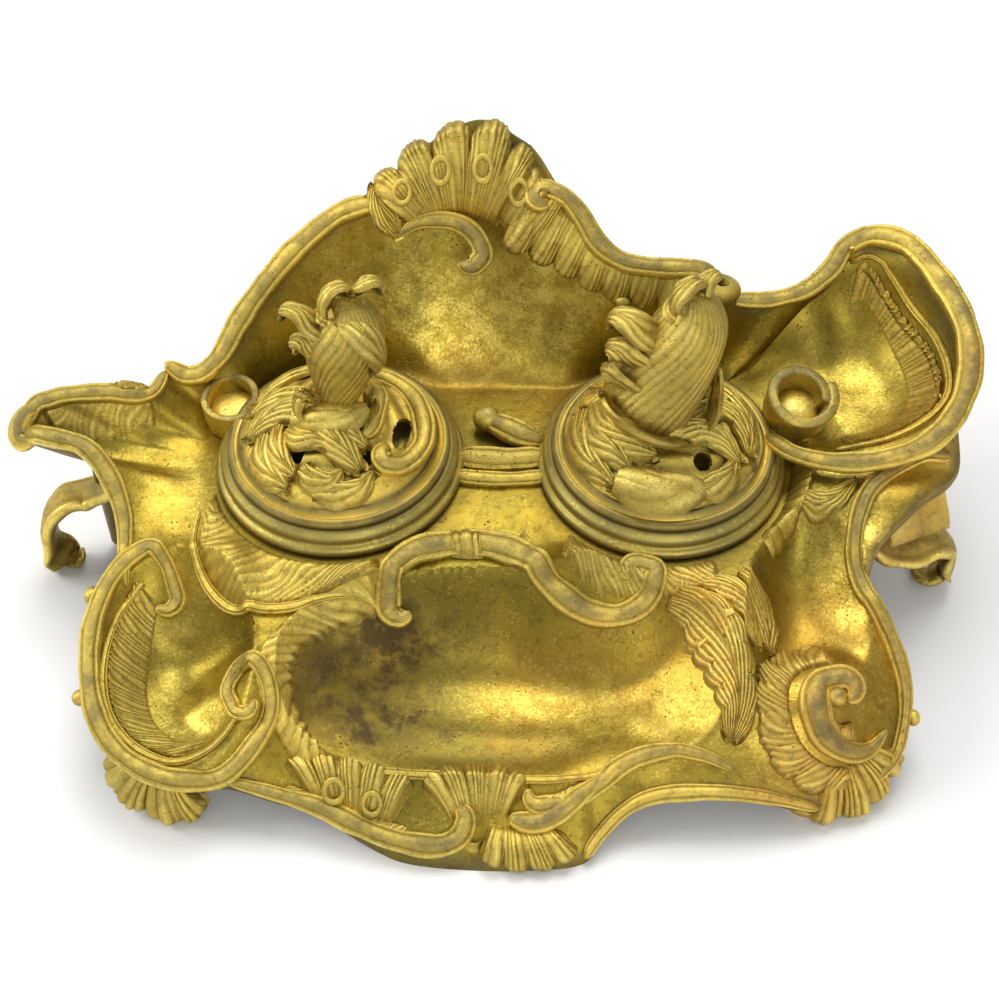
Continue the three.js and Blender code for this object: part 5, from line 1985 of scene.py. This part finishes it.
RIGHT_LEAVES = (
    LidLeaf(((26, 165), (26.5, 185), (27, 206), (27.5, 234)), 8, 2, 1.0),
    LidLeaf(((21, 160), (19, 188), (16, 220), (17, 258)), 14, 3, 2.0),
    LidLeaf(((24, 180), (22.5, 200), (21, 220), (22.5, 240)), 9, 2, 1.6),
    LidLeaf(((13, 165), (9, 205), (7, 250), (10, 290)), 9, 2, 1.8),
    LidLeaf(((26, 236), (26.5, 256), (26.5, 270), (26.5, 290)), 9, 1, 1.6),
    LidLeaf(((6, 290), (8, 340), (14.5, 8), (21, 20)), 10, 3, 1.6),
    LidLeaf(((11, 268), (11.5, 318), (19, 330), (26.5, 326)), 11, 3, 2.0),
    LidLeaf(((26.5, 290), (26.8, 302), (26.5, 314), (25, 326)), 8, 2, 1.2),
    LidLeaf(((15, 25), (21, 8), (25, 352), (27.5, 336)), 10, 3, 1.4),
    LidLeaf(((20, 60), (24, 38), (26, 15), (27, 355)), 9, 2, 1.0),
    LidLeaf(((24, 75), (24.5, 98), (25, 120), (26, 142)), 11, 3, 1.0),
    LidLeaf(((13, 95), (16, 120), (20, 145), (25, 162)), 10, 2, 1.0),
)
RIGHT_SCROLLS = ((((24, 62), (21, 78), (15, 84), (11, 74)), 5.6),)
RIGHT_HOLES = ((21, 161, 3.6, 2.4), (15.3, 34, 4.6, 2.4), (19, 303, 3.0, 2.6))
LEFT_KNOP = ((63, 6.4, -1, 0), (67, 6, -1, 1), (72, 6.9, 1, 2.5), (78, 8.7, 2.5, 4), (84, 10, 4, 5),
             (90, 10.8, 5, 6), (95, 10.2, 5.5, 7), (99, 8.2, 5.5, 8), (102.5, 5.4, 4.5, 9), (105, 2.5, 4, 10))
RIGHT_KNOP = ((60, 8, -5, -2), (64, 11, -5, -1), (69, 13.2, -5, 0.5), (75, 14.4, -4, 2), (83, 13.6, 0, 4),
              (91, 12.2, 3.5, 5.5), (97, 10.6, 5.5, 7), (102, 8, 5.8, 8.5), (106, 5, 5, 9.5),
              (108, 2.5, 4.5, 10.5))
LEFT_KNOP_LEAVES = (
    ("tip_front", 8.0, 1.4, ((1, 4, 95), (-1, 5, 102), (0.5, 6, 108), (4, 7, 110), (6.5, 8, 107.5))),
    ("tip_back", 7.5, 1.4, ((6, 8, 98), (8, 9, 104), (11, 10, 108.5), (14, 11, 108), (14.5, 12, 105))),
    ("lobe_high", 8.5, 1.4, ((1, 3, 92), (-4, 3, 97), (-8, 4, 102), (-12, 5, 103), (-13.5, 6, 100.5))),
    ("lobe_low", 7.5, 1.4, ((0, 1, 84), (-4, 1, 89), (-8, 2, 93), (-10.5, 3, 92), (-10.5, 4, 89))),
    ("shoulder", 12.0, 1.6, ((5, 4, 100), (9, 0, 99), (13, -2.5, 95), (14.5, -3, 90), (13.5, -3, 86))),
    ("root_curl", 8.0, 1.8, ((-3, -6, 64), (-7, -6, 67), (-10, -4, 72), (-8.5, -3, 76), (-5.5, -4, 75))),
    ("root_right", 8.0, 1.8, ((5, -6, 64), (8, -4, 65), (11, -1, 68), (11, 2, 71))),
)
RIGHT_KNOP_LEAVES = (
    ("tip_front", 8.5, 1.4, ((1, 4, 98), (0, 5, 105), (2, 6, 110), (5.5, 8, 111.5), (8, 10, 108))),
    ("tip_back", 8.0, 1.4, ((6, 8, 102), (8, 10, 108), (11, 12, 110.5), (13.5, 13, 108.5))),
    ("lobe_high", 10.5, 1.6, ((-2, 2, 91), (-8, 2, 97), (-13, 3, 101), (-17, 5, 101), (-18.5, 6, 98))),
    ("lobe_middle", 9.5, 1.6, ((-4, -1, 84), (-10, -1, 89), (-15, 0, 92), (-18, 2, 91), (-18, 3, 88))),
    ("lobe_low", 9.0, 1.6, ((-7, -4, 78), (-12, -4, 82), (-17, -2, 84), (-19, 0, 83), (-18, 2, 80))),
    ("wrap", 10.0, 1.4, ((6, -11, 64), (-1, -13.5, 67), (-9, -13.5, 71), (-17, -9, 75), (-20, -4, 77))),
    ("root_right", 10.0, 1.8, ((8, -8, 63), (12, -5, 67), (14, 0, 74), (14.5, 4, 81))),
)


@dataclass
class HiddenParts:
    """The CAD pieces that are shown as they are: nuts, studs and washers."""

    nodes: dict[str, bpy.types.Object]
    brass: bpy.types.Material

    def build(self) -> list[bpy.types.Object]:
        """Paints the pieces that nothing replaces.

        Returns:
            Those pieces.
        """
        shown = []
        for obj in self.nodes.values():
            if obj.hide_render:
                continue
            obj.data.materials.clear()
            obj.data.materials.append(self.brass)
            shown.append(obj)
        return shown


def attach(pieces: list[bpy.types.Object], body: str, node: str) -> None:
    """Gives pieces their place in the frame.

    Args:
        pieces: The pieces.
        body: The body they ride on.
        node: The CAD node they stand for.
    """
    for obj in pieces:
        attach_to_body(obj, body)
        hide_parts(node)
    LOG.info("%s: %d pieces", node, len(pieces))


def well_axis(side: str) -> Point2:
    """A well's axis in metres, from its collar."""
    low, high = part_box(f"{side}_collar")
    return ((low.x + high.x) / 2, (low.y + high.y) / 2)


def main() -> None:
    """Builds the inkstand and its studio."""
    logging.basicConfig(level=logging.INFO, format="%(message)s")
    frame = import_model()
    deselect()
    gilt = GiltFinish("gilt_casting", "gilt_casting")
    chased = GiltFinish("chased_gilt", "chased_gilt", gold=(0.84, 0.62, 0.12), olive=(0.60, 0.46, 0.095),
                        warm=(0.72, 0.43, 0.09), painted_highlight=(1.0, 0.84, 0.26), worn=(0.22, 0.18, 0.08),
                        fleck_and_shade=(0.16, 0.11, 0.026), roughness=0.46, grain=0.0012)
    gilt_metal, chased_metal = gilt.build(), chased.build()
    centers = {side: well_axis(side) for side in ("left", "right")}
    form = TrayForm(tuple((x / MM, y / MM) for x, y in centers.values()))
    ornaments = Ornaments(form, chased_metal)
    attach(TrayBody(form, gilt_metal).build(), "stand", "tray")
    for name, maker in ornaments.makers().items():
        LOG.info("ornaments of the tray: %s", name)
        attach(maker(), "stand", "tray")
    knops = {"left": (LEFT_KNOP, LEFT_KNOP_LEAVES), "right": (RIGHT_KNOP, RIGHT_KNOP_LEAVES)}
    lids = {"left": (LEFT_LEAVES, LEFT_SCROLLS, LEFT_HOLES),
            "right": (RIGHT_LEAVES, RIGHT_SCROLLS, RIGHT_HOLES)}
    glaze = GlazeFinish("glazed_pot", "glazed_pot").build()
    for side, center in centers.items():
        attach(InkPot(side, center, glaze).build(), f"{side}_pot", f"{side}_ink_pot")
        turned_metal = TurnedFinish(f"{side}_turned_gilt", "turned_gilt", center).build()
        attach(Collar(side, center, turned_metal).build(), "stand", f"{side}_collar")
        plate_metal = TurnedFinish(f"{side}_lid_gilt", "turned_gilt", center, metal=(0.74, 0.55, 0.12),
                                   dull=(0.50, 0.40, 0.11), painted_highlight=(0.95, 0.74, 0.2),
                                   groove=(0.10, 0.075, 0.03)).build()
        lid = Lid(side, center, plate_metal, chased_metal, *lids[side])
        attach(lid.build_plate(), f"{side}_lid", f"{side}_lid_plate")
        attach(lid.build_relief(), f"{side}_lid", f"{side}_lid_openwork")
        knop = Knop(side, center, chased_metal, *knops[side])
        attach(knop.build(), f"{side}_lid", f"{side}_knop")
    hidden = HiddenParts(frame["nodes"], BareBrass("plain_brass", "plain_brass").build())
    LOG.info("hidden parts: %d", len(hidden.build()))
    Studio(FloorFinish().build()).build()


if __name__ == "__main__":
    main()
